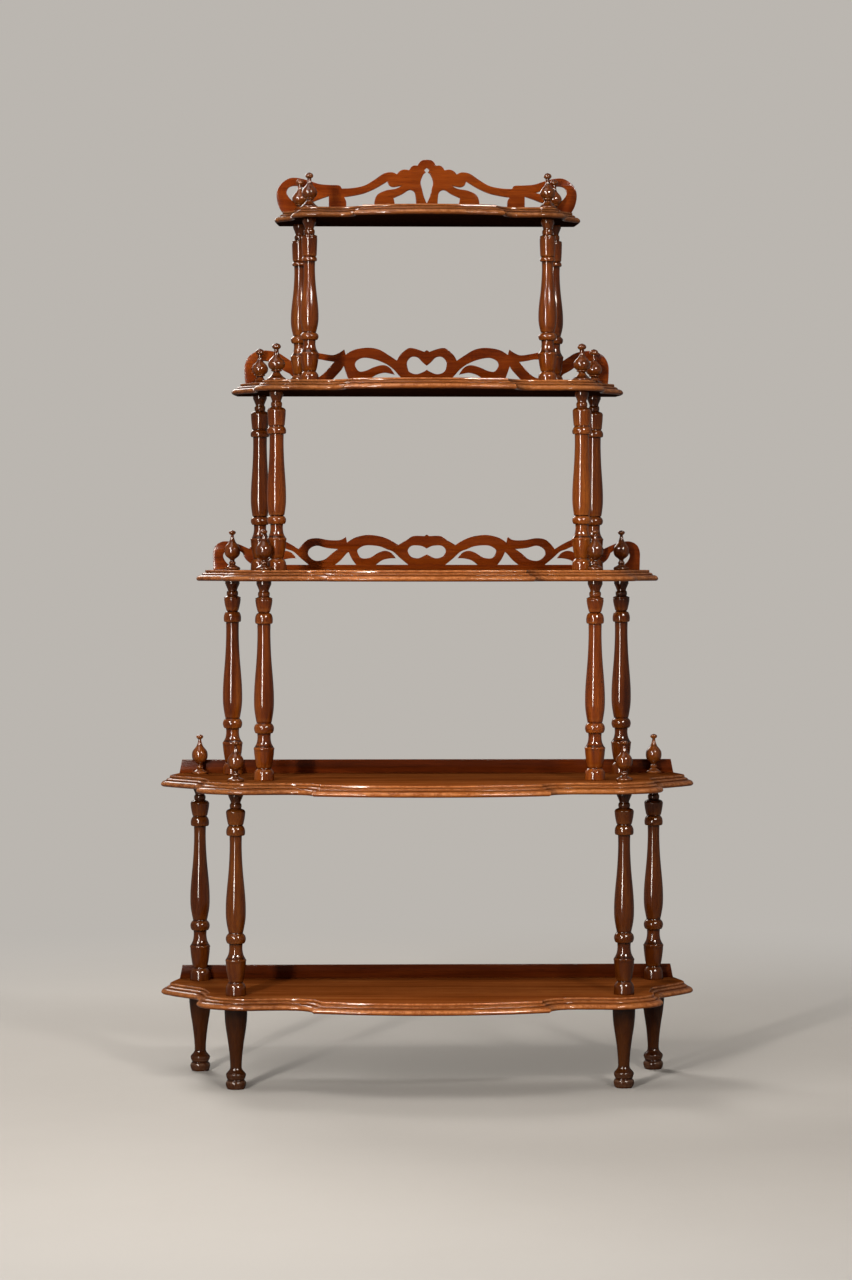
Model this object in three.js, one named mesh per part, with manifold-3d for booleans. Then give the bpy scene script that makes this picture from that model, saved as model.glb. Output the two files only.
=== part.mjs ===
// A five-tier turned and fretted etagere in polished mahogany, modelled at its real size.
// Millimetres, +Z up, the front faces -Y, and the origin is under the middle of the bounding box.
import * as THREE from "three";
import { mergeVertices } from "three/addons/utils/BufferGeometryUtils.js";
import Module from "manifold-3d";

const wasm = await Module();
wasm.setup();

// Driving dimensions that all pieces share
const shelfThickness = 16;
const mouldingWidth = 14;
const rearMargin = 24;
const boardThickness = 8;
const boardMargin = 0.6;
const legHeight = 118;
const legRadius = 16.4;
const capitalHeight = 61;

// Joints: round pegs in sockets, and flat tenons in mortises
const pegRadius = 4.6;
const pegClearance = 0.3;
const pegDepth = 10;
const pegEndClearance = 0.8;
const tenonLength = 30;
const tenonThickness = 4;
const tenonDepth = 8;
const tenonClearance = 0.3;
const cutOverrun = 2;

// Fineness of the curves
const turnedSides = 8;
const tracedSteps = 2;
const bowPoints = 8;
const earPoints = 13;
const lobePoints = 8;
const outlineSamples = 12;
// A curve's halfway points are left out where it bends by less than this share of a board's depth
const straightShare = 0.03;
// Points closer together than this share of the board's margin count as one
const sameShare = 0.05;

// The four bays. A bay's posts stand at frontHalf and rearHalf either side of the middle, and its
// front row lies rowDepth in front of the rear row. Below the top bay, each bay's posts stand
// further out and forward than those above by its steps, so that its finials stand clear of them.
const topBay = { clearHeight: 236, frontHalf: 173, rearHalf: 188, rowDepth: 85, postRadius: 13.5 };
const secondSteps = { clearHeight: 257, front: 47, rear: 59, row: 45, postRadius: 13.9 };
const thirdSteps = { clearHeight: 286, front: 18, rear: 41, row: 20, postRadius: 14.6 };
const bottomSteps = { clearHeight: 290, front: 40, rear: 48.5, row: 28, postRadius: 14.6 };
// How each bay's posts differ, as shares of the post's radius: the shaft's waist, the collar under
// the capital, and the foot and top of the capital's barrel
const waistShares = [0.6, 0.73, 0.64, 0.59];
const collarShares = [0.82, 1, 0.88, 0.92];
const barrelFootShares = [0.77, 0.83, 0.6, 0.74];
const barrelTopShares = [0.85, 0.96, 0.84, 0.95];
const secondBay = bayBelow(topBay, secondSteps);
const thirdBay = bayBelow(secondBay, thirdSteps);
const bottomBay = bayBelow(thirdBay, bottomSteps);
const bays = [topBay, secondBay, thirdBay, bottomBay];

// The shelves. Each is drawn round the posts of the bay under it, and the bottom one round those
// that stand on it: its lobes reach lobeBeyond past the rear posts, its bow stands bowAhead of the
// front posts and ends at cusps cuspInside of them, and its ears pass round them.
const topShelf = {
  bay: topBay, lobeBeyond: 36.5, bowAhead: 80, cuspInside: 65, earAhead: 33, earBeyond: 27,
};
const secondShelf = {
  bay: secondBay, lobeBeyond: 41, bowAhead: 100, cuspInside: 98, earAhead: 40, earBeyond: 34,
};
const thirdShelf = {
  bay: thirdBay, lobeBeyond: 52, bowAhead: 105, cuspInside: 91, earAhead: 43, earBeyond: 62,
};
const lowerShelf = {
  bay: bottomBay, lobeBeyond: 56, bowAhead: 112, cuspInside: 110, earAhead: 50, earBeyond: 58,
};
// The two lowest shelves are alike
const shelves = [topShelf, secondShelf, thirdShelf, lowerShelf, lowerShelf];
const tipAhead = 30;

// Shelf edge outline. The bow rises by a share of its cusp's distance from the middle. The sweep
// runs from the cusp (0, 0) to the ear's end (1) and to the ear's hollow front (1).
const bowRiseShare = 0.167;
const sweepShares = [[0, 0], [0.02, 0.4], [0.08, 0.8], [0.2, 1], [0.4, 0.97], [0.6, 0.92]];
// The ear's end, as shares of the same width and of the way from the ear's front to the lobe's tip
const earEndShares = [[0.8, 0.05], [0.93, 0.14], [0.99, 0.26], [0.965, 0.4]];
// The lobe, as shares of the way from that notch to the lobe's tip
const lobeShares = [[0.13, 0.34], [0.33, 0.48], [0.56, 0.62], [0.8, 0.78], [1, 1]];

// Moulded edge, from the top down: shares of the moulding's width that a level is set in, and
// shares of the shelf's thickness below the top
const mouldingShares = [[1, 0], [0.93, 0.27], [0.6, 0.36], [0.14, 0.6], [0, 0.77], [0.2, 1]];

// Turned post's foot and ring: shares of the bay's clear height and of the post's radius
const postShares = [
  [0, 0.99], [0.031, 0.985], [0.064, 0.72], [0.118, 0.91], [0.175, 1.02], [0.2, 0.78],
  [0.235, 0.655], [0.257, 0.68], [0.257, 0.84], [0.269, 0.97], [0.29, 0.97], [0.307, 0.72],
];
// Its shaft: shares of the clear height, and of the way from the waist's radius to the belly's
const shaftShares = [[0.36, 0.88], [0.405, 1], [0.47, 0.88], [0.57, 0.5], [0.65, 0.2], [0.73, 0]];
const bellyShare = 0.98;
// Its capital: the collar as shares of the capital's height and of the collar's radius, the heights
// of the barrel's foot and top, and the neck as shares of the height and of the post's radius
const collarProfileShares = [[0, 0.9], [0.05, 1], [0.13, 0.98]];
const barrelHeightShares = [0.235, 0.56];
const neckShares = [[0.635, 0.55], [0.75, 0.53], [0.8, 0.5], [0.92, 0.72], [1, 0.72]];
// Turned leg: shares of its height and of its radius
const legShares = [
  [0, 0.76], [0.05, 0.89], [0.09, 0.87], [0.113, 0.72], [0.15, 0.855], [0.175, 0.865],
  [0.24, 0.54], [0.34, 0.53], [0.45, 0.585], [0.6, 0.73], [0.75, 0.91], [0.86, 0.975], [1, 1],
];
// Turned finial of the lower shelves: shares of its height and of its radius
const finialShares = [
  [0, 0.96], [0.06, 0.97], [0.13, 0.36], [0.18, 0.41], [0.24, 0.28], [0.33, 0.7], [0.48, 1],
  [0.6, 0.86], [0.7, 0.45], [0.87, 0.2], [0.93, 0.43], [1, 0.1],
];
// The squat finial of the two upper shelves, on a broader foot
const squatFinialShares = [
  [0, 1.12], [0.05, 1.12], [0.16, 0.6], [0.235, 0.4], [0.27, 0.62], [0.31, 0.74], [0.43, 1],
  [0.53, 0.9], [0.66, 0.36], [0.84, 0.29], [0.9, 0.5], [1, 0.1],
];
const topFinialSizes = { height: 51.5, radius: 11, shares: squatFinialShares };
const secondFinialSizes = { height: 53.5, radius: 12.2, shares: squatFinialShares };
const finialSizes = { height: 58.5, radius: 11.7, shares: finialShares };
// The finials over each bay's posts, from the top shelf down
const finials = [topFinialSizes, secondFinialSizes, finialSizes, finialSizes];

// Fretwork, traced on the right half of each board in pixels of the photograph: [distance from
// the board's middle, height in the picture]. Each run is a smooth curve, and runs meet at corners.
const crestPixels = {
  repeated: [],
  edge: [
    [[0, 160.8], [4.5, 161.4], [7.5, 163.8], [9.3, 166.7]],
    [[9.3, 166.7], [13, 166.6], [16, 168.5], [17.6, 171.2]],
    [[17.6, 171.2], [23, 170.6], [27.3, 172.4], [29.8, 175.3]],
    [[29.8, 175.3], [35, 173.3], [43, 174.7], [52.5, 181], [62.5, 186.7], [74.5, 189.2], [84.8, 189.7]],
    [[84.8, 189.7], [87.5, 186.6], [96, 186.2], [107, 185.3], [117, 182.2], [128, 179.4],
      [137, 179.7], [145, 185], [149.2, 192], [149.7, 199], [148, 206.5], [144.5, 213], [139, 216.3]],
  ],
  middleOpenings: [
    [
      [[0, 168.7], [2.3, 171], [1.1, 173.4]],
      [[1.1, 173.4], [3.5, 175.5], [6.2, 183], [4.8, 190], [2.9, 197.5], [0, 204.2]],
    ],
  ],
  openings: [
    [
      [[10.8, 211], [11, 200], [12.5, 193], [17.5, 190.9], [24.5, 195], [33.1, 198.9]],
      [[33.1, 198.9], [32, 205], [31.8, 211]],
    ],
    [
      [[82.3, 198], [75, 197], [63, 194.4], [52, 189.8], [43, 184.6], [39.4, 182.3]],
      [[39.4, 182.3], [37.6, 186.2], [33.8, 188], [28.3, 187.2], [24.9, 186.6]],
      [[24.9, 186.6], [31, 189.7], [41, 191.5], [49.5, 195.8], [52.4, 203], [52, 211]],
      [[80.5, 211], [80.4, 203], [82.3, 198]],
    ],
    [
      [[97.8, 211], [97.8, 197.2]],
      [[97.8, 197.2], [106, 200], [115.6, 203.6], [121.5, 204.2], [126.3, 201.2], [123.5, 197],
        [116, 195.3], [108.6, 193.7]],
      [[108.6, 193.7], [119, 189.8], [129.5, 187], [137, 188.3], [139.9, 193.5], [137, 199.2],
        [131, 205], [127, 211]],
    ],
  ],
};
const secondFretPixels = {
  repeated: [],
  edge: [
    [[0, 350.3], [2.7, 352]],
    [[2.7, 352], [9.9, 349.4], [17.3, 348.2], [22.4, 351.1], [26.9, 355.3], [30, 360.7]],
    [[30, 360.7], [37.7, 355.6], [47.3, 350], [57.5, 348], [68.8, 349.1], [76, 351.6], [81, 355]],
    [[81, 355], [82.4, 349.7]],
    [[82.4, 349.7], [88.1, 353.4], [94.3, 355.4], [104.6, 354], [113, 352.6], [122.5, 354.2],
      [133.8, 362.6]],
    [[133.8, 362.6], [141.6, 357.3], [149, 353], [159.4, 351], [169.5, 351.9], [177.3, 356.7],
      [181.4, 364.5], [182, 373.3], [181.1, 385.9]],
    [[168, 385.9], [169, 379], [173.6, 372.5], [173.5, 366], [167, 361.6], [158, 362],
      [150, 366], [144, 370.3], [137, 374]],
    [[137, 374], [131, 380.5]],
    [[131, 385.9]],
  ],
  middleOpenings: [
    [
      [[0, 365.8], [4.2, 362.4], [9.3, 357.5], [15.6, 357.3], [19.8, 363], [17.6, 371.5],
        [10.5, 374.3], [3.1, 371.8], [0, 369.7]],
    ],
  ],
  openings: [
    [
      [[39.9, 364.4], [50.1, 360.1], [62, 357.9], [69.4, 360.5], [71.7, 365.4], [67.7, 371.5],
        [60.9, 370.9], [53.8, 367.8], [46.1, 365.5], [40.5, 365.9], [35.7, 369.2], [32, 374.8]],
      [[32, 374.8], [37.7, 373.5], [42.8, 372.9], [50.7, 375.2], [58.5, 380.5]],
      [[23, 380.5], [28.3, 375], [33.4, 369.3], [39.9, 364.4]],
    ],
    [
      [[83, 366.1], [81, 372.3], [78, 380.5]],
      [[95, 380.5], [91.5, 376.9], [85.5, 370.3], [83, 366.1]],
    ],
    [
      [[92.3, 362], [100.5, 360.8], [108, 359.4], [115, 360], [121, 364], [122.5, 370],
        [118, 376.3], [111, 378.2], [104.6, 375.1], [98, 368.5], [92.3, 362]],
    ],
  ],
};
const scrollLoopPixels = [
  [[39.5, 549.5], [48, 546.2], [61, 545.4], [68.3, 548.8], [69.2, 552.4], [65.5, 557.9],
    [57, 557.6], [49, 552.9], [42, 550.7], [35.5, 552.8], [30.8, 558.3]],
  [[30.8, 558.3], [37, 558.4], [44.5, 560.2], [50.8, 564.7]],
  [[18.6, 564.7], [26.5, 558.2], [32, 553], [35.5, 550.8], [39.5, 549.5]],
];
// Its second copy stands further out by this share of the board's half span
const loopRepeatShare = 0.4663;
const thirdFretPixels = {
  repeated: [scrollLoopPixels],
  edge: [
    [[0, 534.5], [2.5, 536]],
    [[2.5, 536], [13.5, 536], [20.3, 540], [28.6, 544.9]],
    [[28.6, 544.9], [37, 539.8], [47, 536.2], [60, 534.9], [72, 537.6], [79.8, 542.4]],
    [[79.8, 542.4], [80.8, 536.8]],
    [[80.8, 536.8], [87, 540], [98, 540], [110, 538.1], [120, 540.2], [128.2, 549]],
    [[128.2, 549], [135, 544.7], [145, 539.8], [157, 536.6], [168.5, 539.5], [177.6, 548.7]],
    [[177.6, 548.7], [190, 543.4], [202, 541.2], [210, 544.6], [213.3, 551.5], [213.4, 560],
      [213.2, 569.75]],
    [[195, 569.75], [196.5, 566], [201.3, 561.3], [203.5, 555.2], [199.6, 550.2], [190, 549.6],
      [184, 553]],
    [[184, 553], [180.9, 559.3], [174.5, 564.7]],
    [[174.5, 569.75]],
  ],
  middleOpenings: [
    [
      [[0, 548.5], [6, 545.8], [15, 545.8], [19, 550.5], [16, 556.3], [9, 558.2], [2.6, 555.6],
        [0, 554.2]],
    ],
  ],
  openings: [
    [
      [[78.3, 552], [75, 558.8], [70.8, 564.7]],
      [[91.7, 564.7], [86.1, 560.2], [80.6, 553.9], [78.3, 552]],
    ],
    [
      [[89, 549.1], [100, 548], [110, 545.7], [117.2, 549], [118.4, 555], [112, 560.4],
        [102.5, 559.4], [94.5, 553], [89, 549.1]],
    ],
  ],
};

// The boards along the shelves' rear edges. Each ends short of its shelf by a margin, and the plain
// rails are a little shorter at the top.
const crestHeight = 82.4;
const crestMargin = 2.2;
const secondFretHeight = 56.3;
const secondFretMargin = 17.7;
const thirdFretHeight = 52.4;
const thirdFretMargin = 23;
const railHeight = 20;
const railMargin = 25;
const railEndSlant = 4;
const railHalfLength = halfWidth(lowerShelf) - railMargin;
const galleries = [
  {
    name: "gallery_1",
    halfLength: halfWidth(topShelf) - crestMargin,
    height: crestHeight,
    trace: crestPixels,
  },
  {
    name: "gallery_2",
    halfLength: halfWidth(secondShelf) - secondFretMargin,
    height: secondFretHeight,
    trace: secondFretPixels,
  },
  {
    name: "gallery_3",
    halfLength: halfWidth(thirdShelf) - thirdFretMargin,
    height: thirdFretHeight,
    trace: thirdFretPixels,
  },
];
const rails = [
  { name: "back_rail_4", halfLength: railHalfLength },
  { name: "back_rail_5", halfLength: railHalfLength },
];
const tenonPlaceShares = [-0.5, 0, 0.5];
// One board for each shelf, from the top down
const standingBoards = [...galleries, ...rails];

// Places worked out from the sizes above
const overallDepth = bottomBay.rowDepth + lowerShelf.bowAhead + rearMargin;
const rearEdge = overallDepth / 2;
const rearRow = rearEdge - rearMargin;
const boardFront = rearEdge - boardThickness;
const shelfTops = shelves.map((plan, index) => {
  const baysBelow = bays.slice(index);
  const shelvesBelow = shelves.length - index;
  const posts = baysBelow.reduce((sum, bay) => sum + bay.clearHeight, 0);
  return legHeight + posts + shelvesBelow * shelfThickness;
});
const holeRadius = pegRadius + pegClearance;
const socketDepth = pegDepth + pegEndClearance;

const corners = [
  { name: "front_left", side: -1, front: true },
  { name: "front_right", side: 1, front: true },
  { name: "rear_left", side: -1, front: false },
  { name: "rear_right", side: 1, front: false },
];

const woodColours = {
  shelf: 0x9c5a34,
  gallery: 0x8a4526,
  rail: 0x5a2a1a,
  post: 0x7a3a22,
  finial: 0x6e3420,
  leg: 0x4e2618,
};

const etagere = new THREE.Group();

function addPiece(name, kind, geometry, x, y, z) {
  const material = new THREE.MeshStandardMaterial({
    color: woodColours[kind],
    roughness: 0.35,
    metalness: 0,
  });
  const mesh = new THREE.Mesh(geometry, material);
  mesh.name = name;
  mesh.position.set(x, y, z);
  etagere.add(mesh);
}

function bayBelow(above, steps) {
  return {
    clearHeight: steps.clearHeight,
    frontHalf: above.frontHalf + steps.front,
    rearHalf: above.rearHalf + steps.rear,
    rowDepth: above.rowDepth + steps.row,
    postRadius: steps.postRadius,
  };
}

// Half the shelf's width, between the tips of its lobes
function halfWidth(plan) {
  return plan.bay.rearHalf + plan.lobeBeyond;
}

function cornerPlace(bay, corner) {
  const half = corner.front ? bay.frontHalf : bay.rearHalf;
  const forward = corner.front ? bay.rowDepth : 0;
  return { x: corner.side * half, y: rearRow - forward };
}

// Solids and booleans

function solidOf(geometry) {
  const bare = geometry.index ? geometry.clone() : geometry;
  bare.deleteAttribute("normal");
  bare.deleteAttribute("uv");
  const merged = mergeVertices(bare);
  return new wasm.Manifold(new wasm.Mesh({
    numProp: 3,
    vertProperties: new Float32Array(merged.attributes.position.array),
    triVerts: new Uint32Array(merged.index.array),
  }));
}

function geometryOf(solid) {
  const mesh = solid.getMesh();
  const geometry = new THREE.BufferGeometry();
  geometry.setAttribute("position", new THREE.BufferAttribute(mesh.vertProperties, 3));
  geometry.setIndex(new THREE.BufferAttribute(mesh.triVerts, 1));
  geometry.computeVertexNormals();
  return geometry;
}

function boxSolid(width, depth, height, x, y, z) {
  const box = new THREE.BoxGeometry(width, depth, height);
  box.translate(x, y, z);
  return solidOf(box);
}

function lathe(points) {
  const profile = points.map(([radius, height]) => new THREE.Vector2(radius, height));
  const geometry = new THREE.LatheGeometry(profile, turnedSides);
  geometry.rotateX(Math.PI / 2);
  return geometry;
}

// A hole's cutter, from its lower to its upper end
function holeSolid(x, y, lower, upper) {
  const cutter = lathe([[0, lower], [holeRadius, lower], [holeRadius, upper], [0, upper]]);
  cutter.translate(x, y, 0);
  return solidOf(cutter);
}

// Turned pieces

// A profile with a peg under its foot and, where it carries something, a socket in its top
function turned(profile, pegLength, hasSocket) {
  const [, top] = profile[profile.length - 1];
  const peg = [[0, -pegLength], [pegRadius, -pegLength], [pegRadius, 0]];
  const socket = [[holeRadius, top], [holeRadius, top - socketDepth], [0, top - socketDepth]];
  const start = pegLength > 0 ? peg : [[0, 0]];
  const end = hasSocket ? socket : [[0, top]];
  return lathe([...start, ...profile, ...end]);
}

function scaledProfile(shares, height, radius, base) {
  return shares.map(([heightShare, radiusShare]) => [radius * radiusShare, base + height * heightShare]);
}

function postProfile(bay, index) {
  const capitalBase = bay.clearHeight - capitalHeight;
  const waistShare = waistShares[index];
  const shaft = shaftShares.map(([up, out]) => [up, between(waistShare, bellyShare, out)]);
  const collar = collarProfileShares.map(([up, out]) => [up, out * collarShares[index]]);
  const [barrelFoot, barrelTop] = barrelHeightShares;
  const capital = [
    [0, waistShare],
    ...collar,
    [barrelFoot, barrelFootShares[index]],
    [barrelTop, barrelTopShares[index]],
    ...neckShares,
  ];
  return [
    ...scaledProfile([...postShares, ...shaft], bay.clearHeight, bay.postRadius, 0),
    ...scaledProfile(capital, capitalHeight, bay.postRadius, capitalBase),
  ];
}

function addPosts() {
  bays.forEach((bay, index) => {
    const standsOnLeg = index === bays.length - 1;
    const pegLength = pegDepth + (standsOnLeg ? shelfThickness : 0);
    for (const corner of corners) {
      const { x, y } = cornerPlace(bay, corner);
      const geometry = turned(postProfile(bay, index), pegLength, true);
      addPiece(`post_${index + 1}_${corner.name}`, "post", geometry, x, y, shelfTops[index + 1]);
    }
  });
}

function addFinials() {
  bays.forEach((bay, index) => {
    const { height, radius, shares } = finials[index];
    for (const corner of corners) {
      const { x, y } = cornerPlace(bay, corner);
      const profile = scaledProfile(shares, height, radius, 0);
      const geometry = turned(profile, shelfThickness + pegDepth, false);
      addPiece(`finial_${index + 1}_${corner.name}`, "finial", geometry, x, y, shelfTops[index]);
    }
  });
}

function addLegs() {
  for (const corner of corners) {
    const { x, y } = cornerPlace(bottomBay, corner);
    const profile = scaledProfile(legShares, legHeight, legRadius, 0);
    addPiece(`leg_${corner.name}`, "leg", turned(profile, 0, true), x, y, 0);
  }
}

// Shelves

function smoothRun(points, stepsPerSpan) {
  const curve = new THREE.SplineCurve(points.map(([x, y]) => new THREE.Vector2(x, y)));
  return curve.getPoints((points.length - 1) * stepsPerSpan);
}

function between(start, end, share) {
  return start + (end - start) * share;
}

function mirrored(points) {
  return points.map((point) => new THREE.Vector2(-point.x, point.y)).reverse();
}

function bowRun(cuspHalf, bowFront, rise) {
  const radius = (cuspHalf * cuspHalf + rise * rise) / (2 * rise);
  const sweep = Math.asin(cuspHalf / radius);
  const points = [];
  for (let step = 0; step <= bowPoints * outlineSamples; step++) {
    const angle = between(-sweep, sweep, step / (bowPoints * outlineSamples));
    const back = radius * (1 - Math.cos(angle));
    points.push(new THREE.Vector2(radius * Math.sin(angle), bowFront + back));
  }
  return points;
}

// A traced edge's extent in pixels, and how far out it stands on the shelf
function traceExtent(trace) {
  const points = trace.edge.flat();
  const halfSpan = Math.max(...points.map(([x]) => x));
  const top = Math.min(...points.map(([, y]) => y));
  const base = Math.max(...points.map(([, y]) => y));
  const footHalf = Math.max(...points.filter(([, y]) => y === base).map(([x]) => x));
  return { halfSpan, top, base, footHalf };
}

// The board that stands on a shelf decides where the shelf's rear corners are
function boardBaseHalf(shelf) {
  const board = standingBoards[shelf];
  if (!board.trace) {
    return board.halfLength;
  }
  const { halfSpan, footHalf } = traceExtent(board.trace);
  return footHalf * board.halfLength / halfSpan;
}

// The shelf's outermost outline as six runs, anticlockwise from the front: the bow, an ear, a lobe,
// the straight back, and the other lobe and ear
function outlineRuns(plan, shelf) {
  const bay = plan.bay;
  const frontRow = rearRow - bay.rowDepth;
  const bowFront = frontRow - plan.bowAhead;
  const cuspHalf = bay.frontHalf - plan.cuspInside;
  const rise = cuspHalf * bowRiseShare;
  const cuspY = bowFront + rise;
  const earFront = frontRow - plan.earAhead;
  const earHalf = bay.frontHalf + plan.earBeyond;
  const tipY = rearRow - tipAhead;
  const rearHalf = boardBaseHalf(shelf) + boardMargin + mouldingWidth;
  const sweep = sweepShares.map(([across, back]) => [
    between(cuspHalf, earHalf, across),
    between(cuspY, earFront, back),
  ]);
  const earEnd = earEndShares.map(([across, back]) => [
    between(cuspHalf, earHalf, across),
    between(earFront, tipY, back),
  ]);
  const notch = earEnd[earEnd.length - 1];
  const lobe = lobeShares.map(([across, back]) => [
    between(notch[0], halfWidth(plan), across),
    between(notch[1], tipY, back),
  ]);
  const rightEar = smoothRun([...sweep, ...earEnd], outlineSamples);
  const rightLobe = smoothRun([notch, ...lobe, [rearHalf, rearEdge]], outlineSamples);
  const back = [rightLobe[rightLobe.length - 1], new THREE.Vector2(-rearHalf, rearEdge)];
  return [
    { points: bowRun(cuspHalf, bowFront, rise), count: bowPoints, moulded: true },
    { points: rightEar, count: earPoints, moulded: true },
    { points: rightLobe, count: lobePoints, moulded: true },
    { points: back, count: 1, moulded: false },
    { points: mirrored(rightLobe), count: lobePoints, moulded: true },
    { points: mirrored(rightEar), count: earPoints, moulded: true },
  ];
}

// A run moved inwards and lengthened at both ends, so that it crosses its moved neighbours
function insetRun(run, inset) {
  const distance = run.moulded ? inset : 0;
  const last = run.points.length - 1;
  const moved = run.points.map((point, n) => {
    const along = run.points[Math.min(n + 1, last)].clone();
    along.sub(run.points[Math.max(n - 1, 0)]).normalize();
    return new THREE.Vector2(point.x - along.y * distance, point.y + along.x * distance);
  });
  const startAway = moved[0].clone().sub(moved[1]).setLength(mouldingWidth + mouldingWidth);
  const endAway = moved[last].clone().sub(moved[last - 1]).setLength(mouldingWidth + mouldingWidth);
  return [moved[0].clone().add(startAway), ...moved, moved[last].clone().add(endAway)];
}

function segmentCrossing(a, b, c, d) {
  const first = b.clone().sub(a);
  const second = d.clone().sub(c);
  const turn = first.cross(second);
  if (turn === 0) {
    return null;
  }
  const offset = c.clone().sub(a);
  const onFirst = offset.cross(second) / turn;
  const onSecond = offset.cross(first) / turn;
  const inside = onFirst >= 0 && onFirst <= 1 && onSecond >= 0 && onSecond <= 1;
  return inside ? first.multiplyScalar(onFirst).add(a) : null;
}

// Where one run's end meets the next run's start
function cornerBetween(run, next) {
  for (let n = run.length - 2; n >= 0; n--) {
    for (let m = 0; m < next.length - 1; m++) {
      const point = segmentCrossing(run[n], run[n + 1], next[m], next[m + 1]);
      if (point) {
        return { point, lastKept: n, firstKept: m + 1 };
      }
    }
  }
  throw new Error("two runs of a shelf's outline don't meet");
}

function distinctPoints(points) {
  return points.filter((point, n) => n === 0 || point.distanceTo(points[n - 1]) > sameShare * boardMargin);
}

// Points at even distances along a run, without its last one
function evenPoints(points, count) {
  const lengths = [0];
  for (let n = 1; n < points.length; n++) {
    lengths.push(lengths[n - 1] + points[n].distanceTo(points[n - 1]));
  }
  const total = lengths[lengths.length - 1];
  const even = [];
  let n = 1;
  for (let step = 0; step < count; step++) {
    const wanted = total * step / count;
    while (lengths[n] < wanted) {
      n += 1;
    }
    const share = (wanted - lengths[n - 1]) / (lengths[n] - lengths[n - 1]);
    even.push(points[n - 1].clone().lerp(points[n], share));
  }
  return even;
}

function insetOutline(runs, inset) {
  const moved = runs.map((run) => insetRun(run, inset));
  const meetings = moved.map((run, n) => cornerBetween(run, moved[(n + 1) % moved.length]));
  return runs.flatMap((run, n) => {
    const start = meetings[(n + runs.length - 1) % runs.length];
    const end = meetings[n];
    const kept = moved[n].slice(start.firstKept, end.lastKept + 1);
    return evenPoints(distinctPoints([start.point, ...kept, end.point]), run.count);
  });
}

// A board with a moulded edge: one outline for each level of the moulding, joined by side faces
function mouldedBoard(runs) {
  const levels = mouldingShares.map(([insetShare, depthShare]) => ({
    outline: insetOutline(runs, mouldingWidth * insetShare),
    height: -shelfThickness * depthShare,
  }));
  const size = levels[0].outline.length;
  const positions = levels.flatMap(({ outline, height }) => (
    outline.flatMap((point) => [point.x, point.y, height])
  ));
  const faces = [];
  for (let level = 1; level < levels.length; level++) {
    const upper = (level - 1) * size;
    const lower = level * size;
    for (let n = 0; n < size; n++) {
      const next = (n + 1) % size;
      faces.push(lower + n, lower + next, upper + next);
      faces.push(lower + n, upper + next, upper + n);
    }
  }
  const bottom = (levels.length - 1) * size;
  for (const [a, b, c] of THREE.ShapeUtils.triangulateShape(levels[0].outline, [])) {
    faces.push(a, b, c);
  }
  for (const [a, b, c] of THREE.ShapeUtils.triangulateShape(levels[levels.length - 1].outline, [])) {
    faces.push(bottom + c, bottom + b, bottom + a);
  }
  const geometry = new THREE.BufferGeometry();
  geometry.setAttribute("position", new THREE.Float32BufferAttribute(positions, 3));
  geometry.setIndex(faces);
  return geometry;
}

function mortiseSolids(shelf) {
  const width = tenonLength + tenonClearance * 2;
  const depth = tenonThickness + tenonClearance * 2;
  const height = tenonDepth + pegEndClearance + cutOverrun;
  const floor = -tenonDepth - pegEndClearance;
  return tenonPlaceShares.map((share) => {
    const x = standingBoards[shelf].halfLength * share;
    return boxSolid(width, depth, height, x, boardFront + boardThickness / 2, floor + height / 2);
  });
}

function addShelves() {
  shelves.forEach((plan, index) => {
    const underside = -shelfThickness - cutOverrun;
    const cutters = mortiseSolids(index);
    for (const corner of corners) {
      const below = cornerPlace(plan.bay, corner);
      cutters.push(holeSolid(below.x, below.y, underside, cutOverrun));
      if (index > 0 && index < bays.length) {
        const above = cornerPlace(bays[index - 1], corner);
        cutters.push(holeSolid(above.x, above.y, -socketDepth, cutOverrun));
      }
    }
    const board = solidOf(mouldedBoard(outlineRuns(plan, index)));
    const cut = cutters.reduce((solid, cutter) => solid.subtract(cutter), board);
    addPiece(`shelf_${index + 1}`, "shelf", geometryOf(cut), 0, 0, shelfTops[index]);
  });
}

// Galleries and rails

// A smooth run through some points, without the halfway points where it is nearly straight
function lightRun(points) {
  if (points.length < 3) {
    return points.map(([x, y]) => new THREE.Vector2(x, y));
  }
  const smooth = smoothRun(points, tracedSteps);
  return smooth.filter((point, n) => {
    if (n % tracedSteps === 0) {
      return true;
    }
    const middle = smooth[n - 1].clone().lerp(smooth[n + 1], 1 / tracedSteps);
    return point.distanceTo(middle) > straightShare * boardThickness;
  });
}

// Runs of pixels to a line of points in millimetres
function tracedLine(runs, toSize) {
  return distinctPoints(runs.flatMap((run) => lightRun(run.map(toSize))));
}

// The right half of a closed line and its mirror image, joined on the middle line, anticlockwise
function wholeLine(half) {
  const onMiddle = (point) => Math.abs(point.x) < sameShare * boardMargin;
  return [...half, ...mirrored(half).filter((point) => !onMiddle(point))].reverse();
}

// A flat solid standing on the shelf, made from its front view, with a margin at front and back
function uprightSolid(line, overrun) {
  const depth = boardThickness + overrun * 2;
  const slab = new THREE.ExtrudeGeometry(new THREE.Shape(line), { depth, bevelEnabled: false });
  slab.rotateX(Math.PI / 2);
  slab.translate(0, boardThickness + overrun, 0);
  return solidOf(slab);
}

// The board's outline with its openings cut and its tenons joined on
function standingBoard(outline, openings, halfLength) {
  const board = openings.reduce(
    (solid, line) => solid.subtract(uprightSolid(line, cutOverrun)),
    uprightSolid(outline, 0),
  );
  const height = tenonDepth + cutOverrun;
  const tenons = tenonPlaceShares.map((share) => boxSolid(
    tenonLength, tenonThickness, height,
    halfLength * share, boardThickness / 2, cutOverrun - height / 2,
  ));
  return geometryOf(tenons.reduce((solid, tenon) => solid.add(tenon), board));
}

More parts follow.
